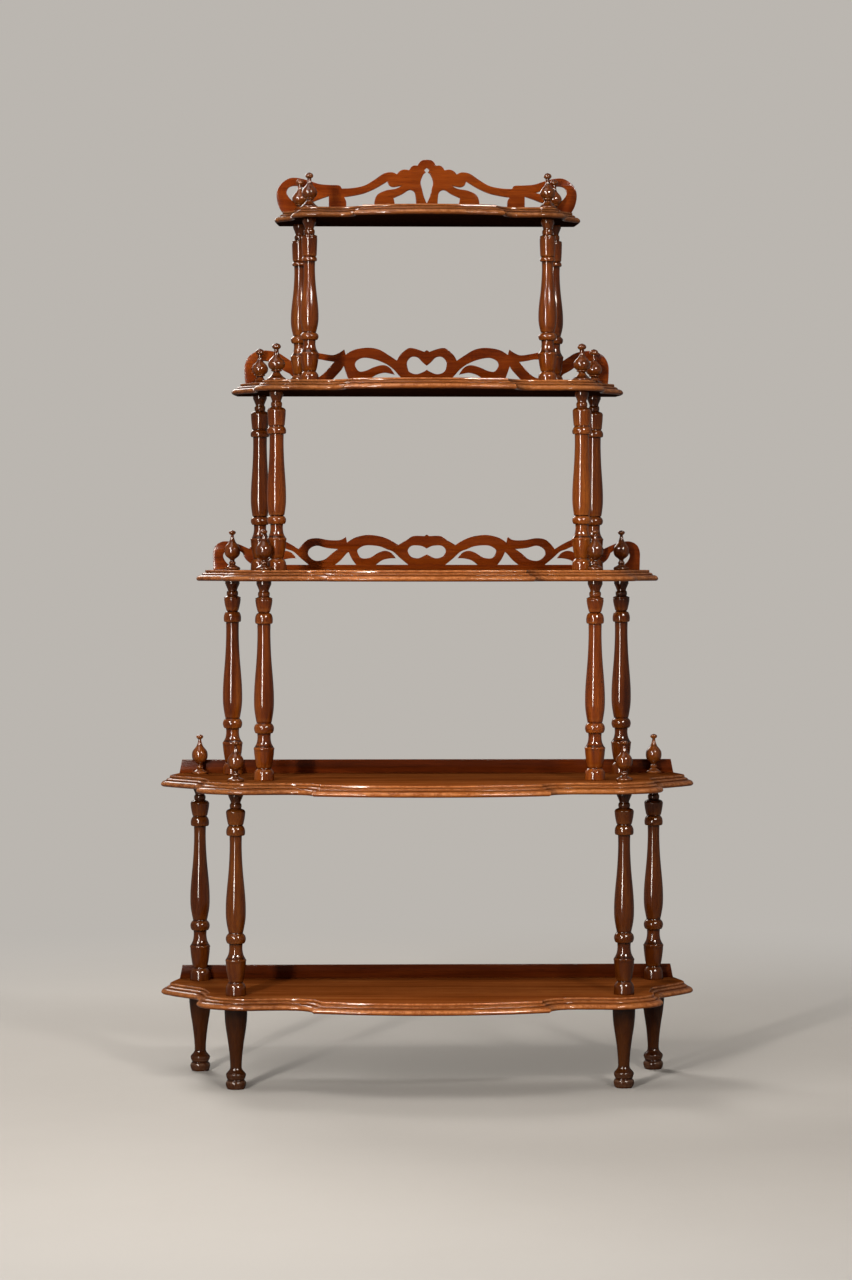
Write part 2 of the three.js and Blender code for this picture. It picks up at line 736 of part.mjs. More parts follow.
function addGalleries() {
  galleries.forEach(({ name, halfLength, height, trace }, shelf) => {
    const { halfSpan, top, base } = traceExtent(trace);
    const across = halfLength / halfSpan;
    const up = height / (base - top);
    const toSize = ([x, y]) => [x * across, (base - y) * up];
    const outline = wholeLine(tracedLine(trace.edge, toSize));
    const openings = trace.middleOpenings.map((runs) => wholeLine(tracedLine(runs, toSize)));
    for (const runs of trace.openings) {
      const line = tracedLine(runs, toSize);
      openings.push(line, mirrored(line));
    }
    for (const runs of trace.repeated) {
      const line = tracedLine(runs, toSize);
      const copy = line.map((point) => (
        new THREE.Vector2(point.x + halfLength * loopRepeatShare, point.y)
      ));
      openings.push(line, mirrored(line), copy, mirrored(copy));
    }
    const geometry = standingBoard(outline, openings, halfLength);
    addPiece(name, "gallery", geometry, 0, boardFront, shelfTops[shelf]);
  });
}

function addRails() {
  rails.forEach(({ name, halfLength }, index) => {
    const topHalfLength = halfLength - railEndSlant;
    const outline = [
      new THREE.Vector2(-halfLength, 0),
      new THREE.Vector2(halfLength, 0),
      new THREE.Vector2(topHalfLength, railHeight),
      new THREE.Vector2(-topHalfLength, railHeight),
    ];
    const geometry = standingBoard(outline, [], halfLength);
    addPiece(name, "rail", geometry, 0, boardFront, shelfTops[galleries.length + index]);
  });
}

addShelves();
addGalleries();
addRails();
addPosts();
addFinials();
addLegs();

export default etagere;
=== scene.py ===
# A five-tier turned and fretted etagere in polished mahogany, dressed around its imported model.
# Metres, +Z up, the front faces -Y.
import math

import bmesh
import bpy
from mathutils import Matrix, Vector


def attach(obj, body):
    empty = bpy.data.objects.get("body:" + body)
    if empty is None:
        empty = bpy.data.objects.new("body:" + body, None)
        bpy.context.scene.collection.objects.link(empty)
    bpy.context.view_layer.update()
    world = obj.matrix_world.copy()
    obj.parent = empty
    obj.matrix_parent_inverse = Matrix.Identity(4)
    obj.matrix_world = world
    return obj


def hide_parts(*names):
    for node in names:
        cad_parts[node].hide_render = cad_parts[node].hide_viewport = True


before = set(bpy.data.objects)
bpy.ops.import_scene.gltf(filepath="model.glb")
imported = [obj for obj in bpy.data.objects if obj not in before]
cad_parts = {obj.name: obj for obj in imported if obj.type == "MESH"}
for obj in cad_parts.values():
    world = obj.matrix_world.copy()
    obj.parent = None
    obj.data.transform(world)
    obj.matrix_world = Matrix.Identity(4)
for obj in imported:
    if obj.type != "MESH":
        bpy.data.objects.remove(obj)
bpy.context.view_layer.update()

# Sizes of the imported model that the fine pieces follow. The lobes' tips lie ahead of the rear row
# of posts, and the boards stand a margin clear of the moulding.
shelf_thickness = 0.016
moulding_width = 0.014
rear_margin = 0.024
board_thickness = 0.008
board_margin = 0.0006
leg_height = 0.118
leg_radius = 0.0164
capital_height = 0.061
lobe_tip_ahead = 0.03
overall_depth = 0.314
rear_edge = overall_depth / 2
rear_row = rear_edge - rear_margin

# The bays from the top down: clear height, post places, row depth, post radius, ring height
bays = [
    {"clear": 0.236, "front": 0.173, "rear": 0.188, "depth": 0.085, "radius": 0.0135, "ring": 0.061},
    {"clear": 0.257, "front": 0.22, "rear": 0.247, "depth": 0.13, "radius": 0.0139, "ring": 0.0664},
    {"clear": 0.286, "front": 0.238, "rear": 0.288, "depth": 0.15, "radius": 0.0146, "ring": 0.0678},
    {"clear": 0.29, "front": 0.278, "rear": 0.3365, "depth": 0.178, "radius": 0.0146, "ring": 0.0746},
]
# How each bay's posts differ: the shaft's waist, the collar's radius, and the barrel's foot and
# top as shares of the post's radius, and the collar's height as a share of the capital's
post_shape_shares = [
    {"waist": 0.6, "collar": 0.82, "collar_height": 0.12, "foot": 0.78, "top": 0.85},
    {"waist": 0.73, "collar": 1.0, "collar_height": 0.185, "foot": 0.84, "top": 0.96},
    {"waist": 0.64, "collar": 0.88, "collar_height": 0.26, "foot": 0.59, "top": 0.84},
    {"waist": 0.59, "collar": 0.93, "collar_height": 0.24, "foot": 0.74, "top": 0.95},
]
# The shelves from the top down: the bay whose posts they follow, half width, the bow's reach ahead
# of the front posts, the cusps' distance from the middle, and the ears' reach ahead of the posts
# and beyond them
shelf_plans = [
    {"bay": 0, "half": 0.2245, "bow": 0.08, "cusp": 0.108, "ear": 0.033, "beyond": 0.027},
    {"bay": 1, "half": 0.288, "bow": 0.1, "cusp": 0.122, "ear": 0.04, "beyond": 0.034},
    {"bay": 2, "half": 0.34, "bow": 0.105, "cusp": 0.147, "ear": 0.043, "beyond": 0.062},
    {"bay": 3, "half": 0.3925, "bow": 0.112, "cusp": 0.168, "ear": 0.05, "beyond": 0.058},
    {"bay": 3, "half": 0.3925, "bow": 0.112, "cusp": 0.168, "ear": 0.05, "beyond": 0.058},
]
# Their outline: how far back the bow's ends lie, as a share of the cusps' distance from the middle,
# and shares of the way from the cusp to the ear, round the ear's end, and along the lobe
bow_rise_share = 0.167
sweep_shares = [(0, 0), (0.02, 0.4), (0.08, 0.8), (0.2, 1), (0.4, 0.97), (0.6, 0.92)]
ear_end_shares = [(0.8, 0.05), (0.93, 0.14), (0.99, 0.26), (0.965, 0.4)]
lobe_shares = [(0.13, 0.34), (0.33, 0.48), (0.56, 0.62), (0.8, 0.78), (1, 1)]

# Moulded edge from the top down, as runs that meet at arrises: shares of the moulding's width
# that a level is set in, and shares of the thickness below the top
moulding_run_shares = [
    [(1, 0), (0.965, 0.012), (0.94, 0.05)],
    [(0.94, 0.05), (0.925, 0.12), (0.92, 0.19)],
    [(0.92, 0.19), (0.955, 0.215), (0.92, 0.24)],
    [(0.92, 0.24), (0.83, 0.25), (0.69, 0.3), (0.6, 0.36), (0.56, 0.42)],
    [(0.56, 0.42), (0.6, 0.445), (0.55, 0.47)],
    [(0.55, 0.47), (0.38, 0.485), (0.21, 0.545), (0.09, 0.635), (0.02, 0.735), (0, 0.8),
     (0.03, 0.89), (0.11, 0.965), (0.2, 1)],
]

# Dirt in the moulding's grooves, painted shade on the rounding that turns under it, and wear on
# its arrises, by the share of the thickness below the top
edge_dirt_and_shade_shares = [(0, 0), (0.14, 0.1), (0.2, 0.85), (0.24, 0.6), (0.3, 0.1), (0.38, 0.25),
                    (0.435, 0.85), (0.5, 0.3), (0.6, 0), (0.84, 0.1), (0.92, 0.7), (1, 1)]
edge_rub_shares = [(0, 0), (0.03, 1), (0.12, 0.5), (0.18, 0), (0.26, 0.9), (0.36, 0.3),
                   (0.42, 0), (0.5, 0.1), (0.6, 0.7), (0.7, 1), (0.8, 0.4), (0.9, 0), (1, 0)]

# Turned work, as runs that meet at arrises: shares of a stretch's height and of the radius.
# A post has a foot and a vase below its ring, a shaft above it, and a capital of one height.
foot_run_shares = [
    [(0, 0.99), (0.012, 1.01), (0.06, 1), (0.12, 0.985)],
    [(0.12, 0.985), (0.165, 0.955), (0.205, 0.865), (0.235, 0.75)],
    [(0.235, 0.75), (0.25, 0.69), (0.268, 0.715)],
    [(0.268, 0.715), (0.33, 0.8), (0.44, 0.895), (0.56, 0.965), (0.655, 1)],
    [(0.655, 1), (0.666, 1.025), (0.68, 1.025), (0.692, 0.995)],
    [(0.692, 0.995), (0.705, 0.95), (0.735, 0.86), (0.79, 0.735), (0.87, 0.66), (0.94, 0.65),
     (1, 0.68)],
]
# The ring at the shaft's foot
ring_run_shares = [
    [(0, 0.68), (0, 0.82)],
    [(0, 0.82), (0.008, 0.89), (0.024, 0.955), (0.042, 0.985), (0.06, 0.96), (0.076, 0.88),
     (0.087, 0.775)],
    [(0.087, 0.775), (0.094, 0.715)],
]
# The shaft above it: shares of the same height, and of the way from the waist's radius to the
# belly's, which is a share of the post's radius
shaft_shares = [
    (0.102, 0.33), (0.125, 0.47), (0.16, 0.66), (0.205, 0.86), (0.255, 0.98), (0.31, 1),
    (0.375, 0.96), (0.45, 0.83), (0.53, 0.64), (0.61, 0.43), (0.69, 0.25), (0.775, 0.11),
    (0.86, 0.02), (0.93, 0), (1, 0.05),
]
belly_share = 0.985
# The collar: shares of its own height and radius
collar_run_shares = [
    [(0, 0.88), (0.05, 0.945), (0.17, 0.99), (0.37, 1)],
    [(0.37, 1), (0.58, 0.975), (0.78, 0.9), (0.92, 0.8)],
]
# The barrel: shares of the way from its foot to its shoulder, in height and in radius. A groove is
# sunk at its foot, and half as deep at its shoulder.
barrel_shares = [(0.07, 0.08), (0.3, 0.42), (0.6, 0.78), (0.87, 0.97), (0.96, 1)]
groove_sink_share = 0.05
shoulder_height_share = 0.568
# The neck above the barrel's shoulder, and the cup under the shelf
neck_run_shares = [
    [(0.6, 0.84), (0.62, 0.66), (0.636, 0.53)],
    [(0.636, 0.53), (0.658, 0.57), (0.7, 0.585), (0.738, 0.56), (0.757, 0.48)],
    [(0.757, 0.48), (0.785, 0.485), (0.835, 0.56), (0.885, 0.655), (0.92, 0.71)],
    [(0.92, 0.71), (0.92, 0.735)],
    [(0.92, 0.735), (1, 0.735)],
]
# The legs and the finials
leg_run_shares = [
    [(0, 0.75), (0.01, 0.79), (0.03, 0.85), (0.06, 0.895), (0.085, 0.87), (0.103, 0.77)],
    [(0.103, 0.77), (0.111, 0.735), (0.12, 0.76)],
    [(0.12, 0.76), (0.135, 0.81), (0.155, 0.86), (0.172, 0.875)],
    [(0.172, 0.875), (0.186, 0.85), (0.207, 0.73), (0.228, 0.595), (0.25, 0.515)],
    [(0.25, 0.515), (0.3, 0.51), (0.4, 0.555), (0.5, 0.63), (0.6, 0.73), (0.7, 0.845),
     (0.8, 0.94), (0.9, 0.99), (1, 1)],
]
finial_run_shares = [
    [(0, 0.93), (0.017, 0.985), (0.05, 0.985), (0.075, 0.87)],
    [(0.075, 0.87), (0.1, 0.6), (0.127, 0.4), (0.136, 0.365)],
    [(0.136, 0.365), (0.16, 0.425), (0.186, 0.425), (0.208, 0.35)],
    [(0.208, 0.35), (0.23, 0.28), (0.255, 0.29), (0.283, 0.41), (0.315, 0.64),
     (0.356, 0.84), (0.41, 0.965), (0.475, 1), (0.55, 0.96), (0.61, 0.81), (0.665, 0.58),
     (0.705, 0.43), (0.76, 0.31), (0.814, 0.225), (0.865, 0.19), (0.885, 0.2)],
    [(0.885, 0.2), (0.9, 0.33), (0.935, 0.44), (0.972, 0.385), (1, 0.05)],
]
squat_finial_run_shares = [
    [(0, 1.06), (0.01, 1.12), (0.035, 1.13), (0.055, 1.07)],
    [(0.055, 1.07), (0.08, 0.93), (0.12, 0.72), (0.17, 0.53), (0.21, 0.43), (0.23, 0.4)],
    [(0.23, 0.4), (0.24, 0.55), (0.255, 0.64), (0.272, 0.64), (0.285, 0.56)],
    [(0.285, 0.56), (0.297, 0.68), (0.335, 0.87), (0.385, 0.98), (0.43, 1), (0.48, 0.965),
     (0.54, 0.83), (0.59, 0.635), (0.63, 0.47), (0.67, 0.35), (0.72, 0.285), (0.79, 0.265),
     (0.84, 0.285)],
    [(0.84, 0.285), (0.855, 0.42), (0.89, 0.52), (0.93, 0.5), (0.97, 0.36), (1, 0.05)],
]
# The finials over each bay's posts, from the top shelf down
finials = [
    {"height": 0.0515, "radius": 0.011, "run_shares": squat_finial_run_shares},
    {"height": 0.0535, "radius": 0.0122, "run_shares": squat_finial_run_shares},
    {"height": 0.0585, "radius": 0.0117, "run_shares": finial_run_shares},
    {"height": 0.0585, "radius": 0.0117, "run_shares": finial_run_shares},
]

# Fretwork, traced on the right half of each board in pixels of the photograph: distance from
# the board's middle, and height in the picture. Runs are smooth curves that meet at corners.
crest_pixels = {
    "edge": [
        [(0, 160.8), (4.5, 161.4), (7.5, 163.8), (9.3, 166.7)],
        [(9.3, 166.7), (13, 166.6), (16, 168.5), (17.6, 171.2)],
        [(17.6, 171.2), (23, 170.6), (27.3, 172.4), (29.8, 175.3)],
        [(29.8, 175.3), (35, 173.3), (43, 174.7), (52.5, 181), (62.5, 186.7), (74.5, 189.2),
         (84.8, 189.7)],
        [(84.8, 189.7), (87.5, 186.6), (96, 186.2), (107, 185.3), (117, 182.2), (128, 179.4),
         (137, 179.7), (145, 185), (149.2, 192), (149.7, 199), (148, 206.5), (144.5, 213),
         (139, 216.3)],
    ],
    "middle": [[
        [(0, 168.7), (2.3, 171), (1.1, 173.4)],
        [(1.1, 173.4), (3.5, 175.5), (6.2, 183), (4.8, 190), (2.9, 197.5), (0, 204.2)],
    ]],
    "repeated": [],
    "openings": [[
        [(10.8, 211), (11, 200), (12.5, 193), (17.5, 190.9), (24.5, 195), (33.1, 198.9)],
        [(33.1, 198.9), (32, 205), (31.8, 211)],
    ], [
        [(82.3, 198), (75, 197), (63, 194.4), (52, 189.8), (43, 184.6), (39.4, 182.3)],
        [(39.4, 182.3), (37.6, 186.2), (33.8, 188), (28.3, 187.2), (24.9, 186.6)],
        [(24.9, 186.6), (31, 189.7), (41, 191.5), (49.5, 195.8), (52.4, 203), (52, 211)],
        [(80.5, 211), (80.4, 203), (82.3, 198)],
    ], [
        [(97.8, 211), (97.8, 197.2)],
        [(97.8, 197.2), (106, 200), (115.6, 203.6), (121.5, 204.2), (126.3, 201.2), (123.5, 197),
         (116, 195.3), (108.6, 193.7)],
        [(108.6, 193.7), (119, 189.8), (129.5, 187), (137, 188.3), (139.9, 193.5), (137, 199.2),
         (131, 205), (127, 211)],
    ]],
}
second_fret_pixels = {
    "edge": [
        [(0, 350.3), (2.7, 352)],
        [(2.7, 352), (9.9, 349.4), (17.3, 348.2), (22.4, 351.1), (26.9, 355.3), (30, 360.7)],
        [(30, 360.7), (37.7, 355.6), (47.3, 350), (57.5, 348), (68.8, 349.1), (76, 351.6),
         (81, 355)],
        [(81, 355), (82.4, 349.7)],
        [(82.4, 349.7), (88.1, 353.4), (94.3, 355.4), (104.6, 354), (113, 352.6), (122.5, 354.2),
         (133.8, 362.6)],
        [(133.8, 362.6), (141.6, 357.3), (149, 353), (159.4, 351), (169.5, 351.9), (177.3, 356.7),
         (181.4, 364.5), (182, 373.3), (181.1, 385.9)],
        [(168, 385.9), (169, 379), (173.6, 372.5), (173.5, 366), (167, 361.6), (158, 362),
         (150, 366), (144, 370.3), (137, 374)],
        [(137, 374), (131, 380.5)],
        [(131, 385.9)],
    ],
    "middle": [[
        [(0, 365.8), (4.2, 362.4), (9.3, 357.5), (15.6, 357.3), (19.8, 363), (17.6, 371.5),
         (10.5, 374.3), (3.1, 371.8), (0, 369.7)],
    ]],
    "repeated": [],
    "openings": [[
        [(39.9, 364.4), (50.1, 360.1), (62, 357.9), (69.4, 360.5), (71.7, 365.4), (67.7, 371.5),
         (60.9, 370.9), (53.8, 367.8), (46.1, 365.5), (40.5, 365.9), (35.7, 369.2), (32, 374.8)],
        [(32, 374.8), (37.7, 373.5), (42.8, 372.9), (50.7, 375.2), (58.5, 380.5)],
        [(23, 380.5), (28.3, 375), (33.4, 369.3), (39.9, 364.4)],
    ], [
        [(83, 366.1), (81, 372.3), (78, 380.5)],
        [(95, 380.5), (91.5, 376.9), (85.5, 370.3), (83, 366.1)],
    ], [
        [(92.3, 362), (100.5, 360.8), (108, 359.4), (115, 360), (121, 364), (122.5, 370),
         (118, 376.3), (111, 378.2), (104.6, 375.1), (98, 368.5), (92.3, 362)],
    ]],
}
third_fret_pixels = {
    "edge": [
        [(0, 534.5), (2.5, 536)],
        [(2.5, 536), (13.5, 536), (20.3, 540), (28.6, 544.9)],
        [(28.6, 544.9), (37, 539.8), (47, 536.2), (60, 534.9), (72, 537.6), (79.8, 542.4)],
        [(79.8, 542.4), (80.8, 536.8)],
        [(80.8, 536.8), (87, 540), (98, 540), (110, 538.1), (120, 540.2), (128.2, 549)],
        [(128.2, 549), (135, 544.7), (145, 539.8), (157, 536.6), (168.5, 539.5), (177.6, 548.7)],
        [(177.6, 548.7), (190, 543.4), (202, 541.2), (210, 544.6), (213.3, 551.5), (213.4, 560),
         (213.2, 569.75)],
        [(195, 569.75), (196.5, 566), (201.3, 561.3), (203.5, 555.2), (199.6, 550.2),
         (190, 549.6), (184, 553)],
        [(184, 553), (180.9, 559.3), (174.5, 564.7)],
        [(174.5, 569.75)],
    ],
    "middle": [[
        [(0, 548.5), (6, 545.8), (15, 545.8), (19, 550.5), (16, 556.3), (9, 558.2), (2.6, 555.6),
         (0, 554.2)],
    ]],
    "repeated": [[
        [(39.5, 549.5), (48, 546.2), (61, 545.4), (68.3, 548.8), (69.2, 552.4), (65.5, 557.9),
         (57, 557.6), (49, 552.9), (42, 550.7), (35.5, 552.8), (30.8, 558.3)],
        [(30.8, 558.3), (37, 558.4), (44.5, 560.2), (50.8, 564.7)],
        [(18.6, 564.7), (26.5, 558.2), (32, 553), (35.5, 550.8), (39.5, 549.5)],
    ]],
    "openings": [[
        [(78.3, 552), (75, 558.8), (70.8, 564.7)],
        [(91.7, 564.7), (86.1, 560.2), (80.6, 553.9), (78.3, 552)],
    ], [
        [(89, 549.1), (100, 548), (110, 545.7), (117.2, 549), (118.4, 555), (112, 560.4),
         (102.5, 559.4), (94.5, 553), (89, 549.1)],
    ]],
}
# The third board's loop comes again further out, by this share of the board's half
loop_repeat_share = 0.4663
galleries = [
    {"half": 0.2223, "height": 0.0824, "trace": crest_pixels},
    {"half": 0.2703, "height": 0.0563, "trace": second_fret_pixels},
    {"half": 0.317, "height": 0.0524, "trace": third_fret_pixels},
]
rail_half = 0.3675
rail_end_slant = 0.004
rail_height = 0.02

# The height of each shelf's top over the floor
shelf_tops = []
for index in range(len(shelf_plans)):
    below = sum(bay["clear"] for bay in bays[index:])
    shelf_tops.append(leg_height + below + (len(shelf_plans) - index) * shelf_thickness)

# Fineness and small roundings
turned_sides = 56
span_steps = 3
moulding_steps = 3
fret_steps = 5
outline_samples = 20
bow_samples = 288
run_counts = {"bow": 72, "ear": 84, "lobe": 40, "back": 1}
arris_radius = 0.0004
moulding_arris_share = 0.01
# A rounded arris takes up no more than this share of the line beside it
corner_cut_share = 0.45
fret_arris = 0.0007
fret_arris_steps = 2
# A board is rubbed wherever it lies deeper than this share of its arris
eased_share = 0.25
sharp_angle = math.radians(38)
# How far inset runs are lengthened, so that they cross their neighbours
crossing_reach = 2 * moulding_width
# Lengths under which two points count as one on a line, in a mesh and in a division
point_gap = 0.00003
weld_gap = 0.000001
least_length = 1e-12
# How far along a profile a point looks for recesses and ridges, and how deep a full one is
recess_reach = 0.0035
recess_depth = 0.0008
# Painted shade at the top of posts and legs, where each shelf above shades them, and how far down it
# reaches
painted_shelf_shade_share = 0.85
painted_shade_reach = 0.042

# Tones of single pieces, from -1, darker, to 1, lighter
shelf_tones = [-0.6, -0.15, 0.15, 0.05, 0.15]
gallery_tones = [-0.05, -0.15, -0.25]
rail_tones = {4: 0.35, 5: -0.5}
# What a shelf's ears add to its tone on the left and on the right, and how far it takes to show
ear_tones = {-1: -0.65, 1: -0.25}
ear_fade = 0.06
# The posts of each bay: front left, front right, rear left, rear right
post_tones = [
    [-0.15, 0.0, -0.35, -0.25],
    [0.05, 0.25, -0.5, -0.35],
    [0.1, 0.8, 0.15, -0.45],
    # The bottom bay's posts are darkest, partly painted shade for the dimmer light low down
    [-0.85, -1.0, -0.9, -0.95],
]
# Finials and legs swing about a tone, by a wave over rows and corners
finial_swing = {"middle": -0.2, "spread": 0.25, "row": 6}
leg_swing = {"middle": 0, "spread": 0.3, "row": 10}
row_turn = 12.9
corner_turn = 7.7

# Noises of the wood: scale along the grain and across it, detail, roughness and distortion
wood_noises = {
    "bands": (1.6, 17, 4, 0.55, 1.2),
    "streaks": (7, 210, 5, 0.65, 0.3),
    "pores": (60, 1500, 2, 0.5, 0),
    "patches": (9, 9, 3, 0.6, 0),
    "grit": (120, 120, 4, 0.7, 0),
}
figure_shares = {"bands": 0.62, "streaks": 0.38}
bump_shares = {"streaks": 0.5, "pores": -0.35, "grit": 0.12}
bump_strength = 0.22
bump_distance = 0.0006
# Where the grain's dark, middle and light colours lie in its figure
grain_stops = {"dark": 0.36, "middle": 0.5, "light": 0.66}
# From where to where a value counts, and what it turns into at both ends
pore_range = (0.56, 0.7, 0, 0.45)
patch_range = (0.35, 0.7, 0, 0.4)
rub_range = (0.38, 0.62, 0.15, 1)
dirt_and_shade_range = (0.3, 0.6, 0.45, 0.95)
tone_range = (-1, 1, 0.45, 1.55)
# Patches and recesses make the wood rougher
rough_patch_range = (0.3, 0.7)
patch_roughness = 0.12
recess_roughness = 0.25
coat_roughness = 0.1
# Where a mix node has its colours
mix_colour_inputs = (6, 7)
mix_colour_output = 2

# Woods: colours of the grain, of rubbed places, and of dirt that also paints shade, the axis of
# the grain, roughness, how far rubbed places show, and the weight of the coat of polish
woods = {
    "shelf_wood_polish": {
        "axis": 0, "dark": (0.13, 0.028, 0.0045), "middle": (0.27, 0.073, 0.012),
        "light": (0.43, 0.142, 0.03), "worn": (0.58, 0.22, 0.075),
        "dirt_and_shade": (0.085, 0.022, 0.006), "rough": 0.34, "rub_share": 0.85, "coat": 0.26,
    },
    "shelf_wood_satin": {
        "axis": 0, "dark": (0.115, 0.025, 0.004), "middle": (0.215, 0.056, 0.011),
        "light": (0.33, 0.108, 0.026), "worn": (0.45, 0.18, 0.07),
        "dirt_and_shade": (0.035, 0.009, 0.003), "rough": 0.62, "rub_share": 0.85, "coat": 0,
    },
    # Unpolished wood, its dark colour partly painted shade for the underside
    "shelf_wood_unpolished_shaded": {
        "axis": 0, "dark": (0.035, 0.01, 0.004), "middle": (0.06, 0.019, 0.007),
        "light": (0.095, 0.033, 0.012), "worn": (0.2, 0.085, 0.04),
        "dirt_and_shade": (0.02, 0.008, 0.004), "rough": 0.75, "rub_share": 0.3, "coat": 0,
    },
    "fret_wood_polish": {
        "axis": 0, "dark": (0.085, 0.011, 0.0012), "middle": (0.165, 0.026, 0.0025),
        "light": (0.26, 0.052, 0.005), "worn": (0.42, 0.15, 0.045),
        "dirt_and_shade": (0.016, 0.004, 0.002), "rough": 0.45, "rub_share": 0.7, "coat": 0.12,
    },
    "rail_wood_polish": {
        "axis": 0, "dark": (0.035, 0.006, 0.001), "middle": (0.075, 0.012, 0.002),
        "light": (0.13, 0.025, 0.004), "worn": (0.28, 0.095, 0.025),
        "dirt_and_shade": (0.008, 0.003, 0.0015), "rough": 0.45, "rub_share": 0.4, "coat": 0.1,
    },
    "post_wood_polish": {
        "axis": 2, "dark": (0.068, 0.0112, 0.0011), "middle": (0.152, 0.031, 0.0032),
        "light": (0.275, 0.074, 0.0085), "worn": (0.38, 0.135, 0.03),
        "dirt_and_shade": (0.01, 0.003, 0.001), "rough": 0.4, "rub_share": 0.3, "coat": 0.32,
    },
    "finial_wood_polish": {
        "axis": 2, "dark": (0.062, 0.0112, 0.0012), "middle": (0.138, 0.0295, 0.0035),
        "light": (0.235, 0.064, 0.009), "worn": (0.34, 0.125, 0.03),
        "dirt_and_shade": (0.01, 0.003, 0.001), "rough": 0.36, "rub_share": 0.3, "coat": 0.4,
    },
    "leg_wood_polish": {
        "axis": 2, "dark": (0.024, 0.0052, 0.0012), "middle": (0.05, 0.0135, 0.0025),
        "light": (0.09, 0.028, 0.006), "worn": (0.2, 0.12, 0.08),
        "dirt_and_shade": (0.007, 0.0035, 0.0025), "rough": 0.4, "rub_share": 0.55, "coat": 0.22,
    },
}

# What a shelf's edge, top and bare parts wear. The underside is bare, and so is the back, up to
# this far from the rear edge. The bare wood's dark colour is partly painted shade.
shelf_woods = ["shelf_wood_polish", "shelf_wood_satin", "shelf_wood_unpolished_shaded"]
edge_index, top_index, bare_shaded_index = range(len(shelf_woods))
back_reach = 0.0006

# Camera, as the photograph was taken: the focal length counts in the picture's pixels, and the
# distance is to the front row of the bottom posts
picture_width = 852
focal_pixels = 3400
camera_height = 0.755
front_distance = 4.857
sideways = 0.006
yaw = math.radians(1.4)
pitch = math.radians(1.33)
sensor_millimetres = 36

# Floor and surroundings. The floor's mottle is a noise as in the woods, with one scale, and the
# floor turns into the background between two distances from the middle.
background_colour = (0.8, 0.755, 0.7)
background_seen = 0.62
background_light = 0.13
floor_half = 30
floor_dark = (0.49, 0.465, 0.435)
floor_light = (0.53, 0.505, 0.475)
floor_roughness = 0.8
mottle_noise = (3, 3, 5, 0.6, 0)
fade_start = 0.7
fade_end = 2.2

# Lamps: place, height of the point aimed at on the middle line, width and height. The last three
# give no diffuse light and only reflect in the polish.
gloss_colour = (1, 0.93, 0.86)
lamps = [
    {"name": "left_strip", "place": (-1.25, -2.9, 1.25), "aim": 0.8, "size": (0.14, 1.5),
     "power": 96, "colour": (1, 0.955, 0.9)},
    {"name": "right_lamp", "place": (1.15, -2.8, 2.2), "aim": 0.7, "size": (0.25, 0.35),
     "power": 34, "colour": (1, 0.95, 0.9)},
    {"name": "top_light", "place": (-0.6, -0.6, 3.0), "aim": 0.6, "size": (1.4, 1.4),
     "power": 26, "colour": (1, 0.96, 0.92)},
    {"name": "rear_light", "place": (-1.2, 2.6, 2.2), "aim": 0.8, "size": (1.2, 1.2),
     "power": 70, "colour": (1, 0.97, 0.93)},
    {"name": "gloss_strip", "place": (-1.4, -3.0, 0.9), "aim": 0.9, "size": (0.36, 1.8),
     "power": 170, "colour": gloss_colour, "gloss_only": True},
    {"name": "gloss_left", "place": (-2.2, -2.5, 2.7), "aim": 0.8, "size": (1.2, 0.9),
     "power": 380, "colour": gloss_colour, "gloss_only": True},
    {"name": "gloss_right", "place": (1.6, -2.8, 2.6), "aim": 0.8, "size": (1.2, 0.9),
     "power": 380, "colour": gloss_colour, "gloss_only": True},
]

# Each corner's name, its side, and whether it is in the front row
corners = [("front_left", -1, True), ("front_right", 1, True),
           ("rear_left", -1, False), ("rear_right", 1, False)]


# Curves

def catmull_rom(before, start, end, after, share):
    """A smooth way from start to end, at a share of it."""
    leaving = (end - before) / 2
    arriving = (after - start) / 2
    cubic = 2 * start - 2 * end + leaving + arriving
    square = -3 * start + 3 * end - 2 * leaving - arriving
    return ((cubic * share + square) * share + leaving) * share + start


def smooth_run(points, steps):
    """A curve through some points, as a list of (x, y)."""
    if len(points) < 3:
        return [tuple(p) for p in points]
    line = []
    last = len(points) - 1
    for n in range(last):
        before = points[max(n - 1, 0)]
        start = points[n]
        end = points[n + 1]
        after = points[min(n + 2, last)]
        for step in range(steps):
            share = step / steps
            line.append(tuple(
                catmull_rom(before[k], start[k], end[k], after[k], share) for k in range(2)
            ))
    line.append(tuple(points[-1]))
    return line


def distance(a, b):
    return math.hypot(a[0] - b[0], a[1] - b[1])


def towards(a, b, length):
    """The point that lies a length from a towards b, short of the middle between them."""
    whole = distance(a, b)
    share = min(length / whole, corner_cut_share) if whole > 0 else 0
    return (a[0] + (b[0] - a[0]) * share, a[1] + (b[1] - a[1]) * share)


def joined_runs(runs, steps, radius):
    """Smooth runs joined into one line whose corners are rounded by a small radius."""
    lines = [smooth_run(run, steps) for run in runs]
    joined = list(lines[0])
    for line in lines[1:]:
        corner = joined.pop()
        before = towards(corner, joined[-1], radius)
        after = towards(corner, line[1], radius)
        middle = tuple((before[k] + after[k] + 2 * corner[k]) / 4 for k in range(2))
        joined += [before, middle, after] + line[1:]
    return joined


def between(start, end, share):
    return start + (end - start) * share


def share_at(shares, place):
    """The share at a place, straight between the places in a table."""
    for (start, before), (end, after) in zip(shares, shares[1:]):
        if place <= end:
            return between(before, after, max(place - start, 0) / (end - start))
    return shares[-1][1]


def mirrored(points):
    return [(-x, y) for x, y in reversed(points)]


def lengths_along(points):
    """The length of the line up to each of its points."""
    lengths = [0]
    for start, end in zip(points, points[1:]):
        lengths.append(lengths[-1] + distance(end, start))
    return lengths


# Meshes

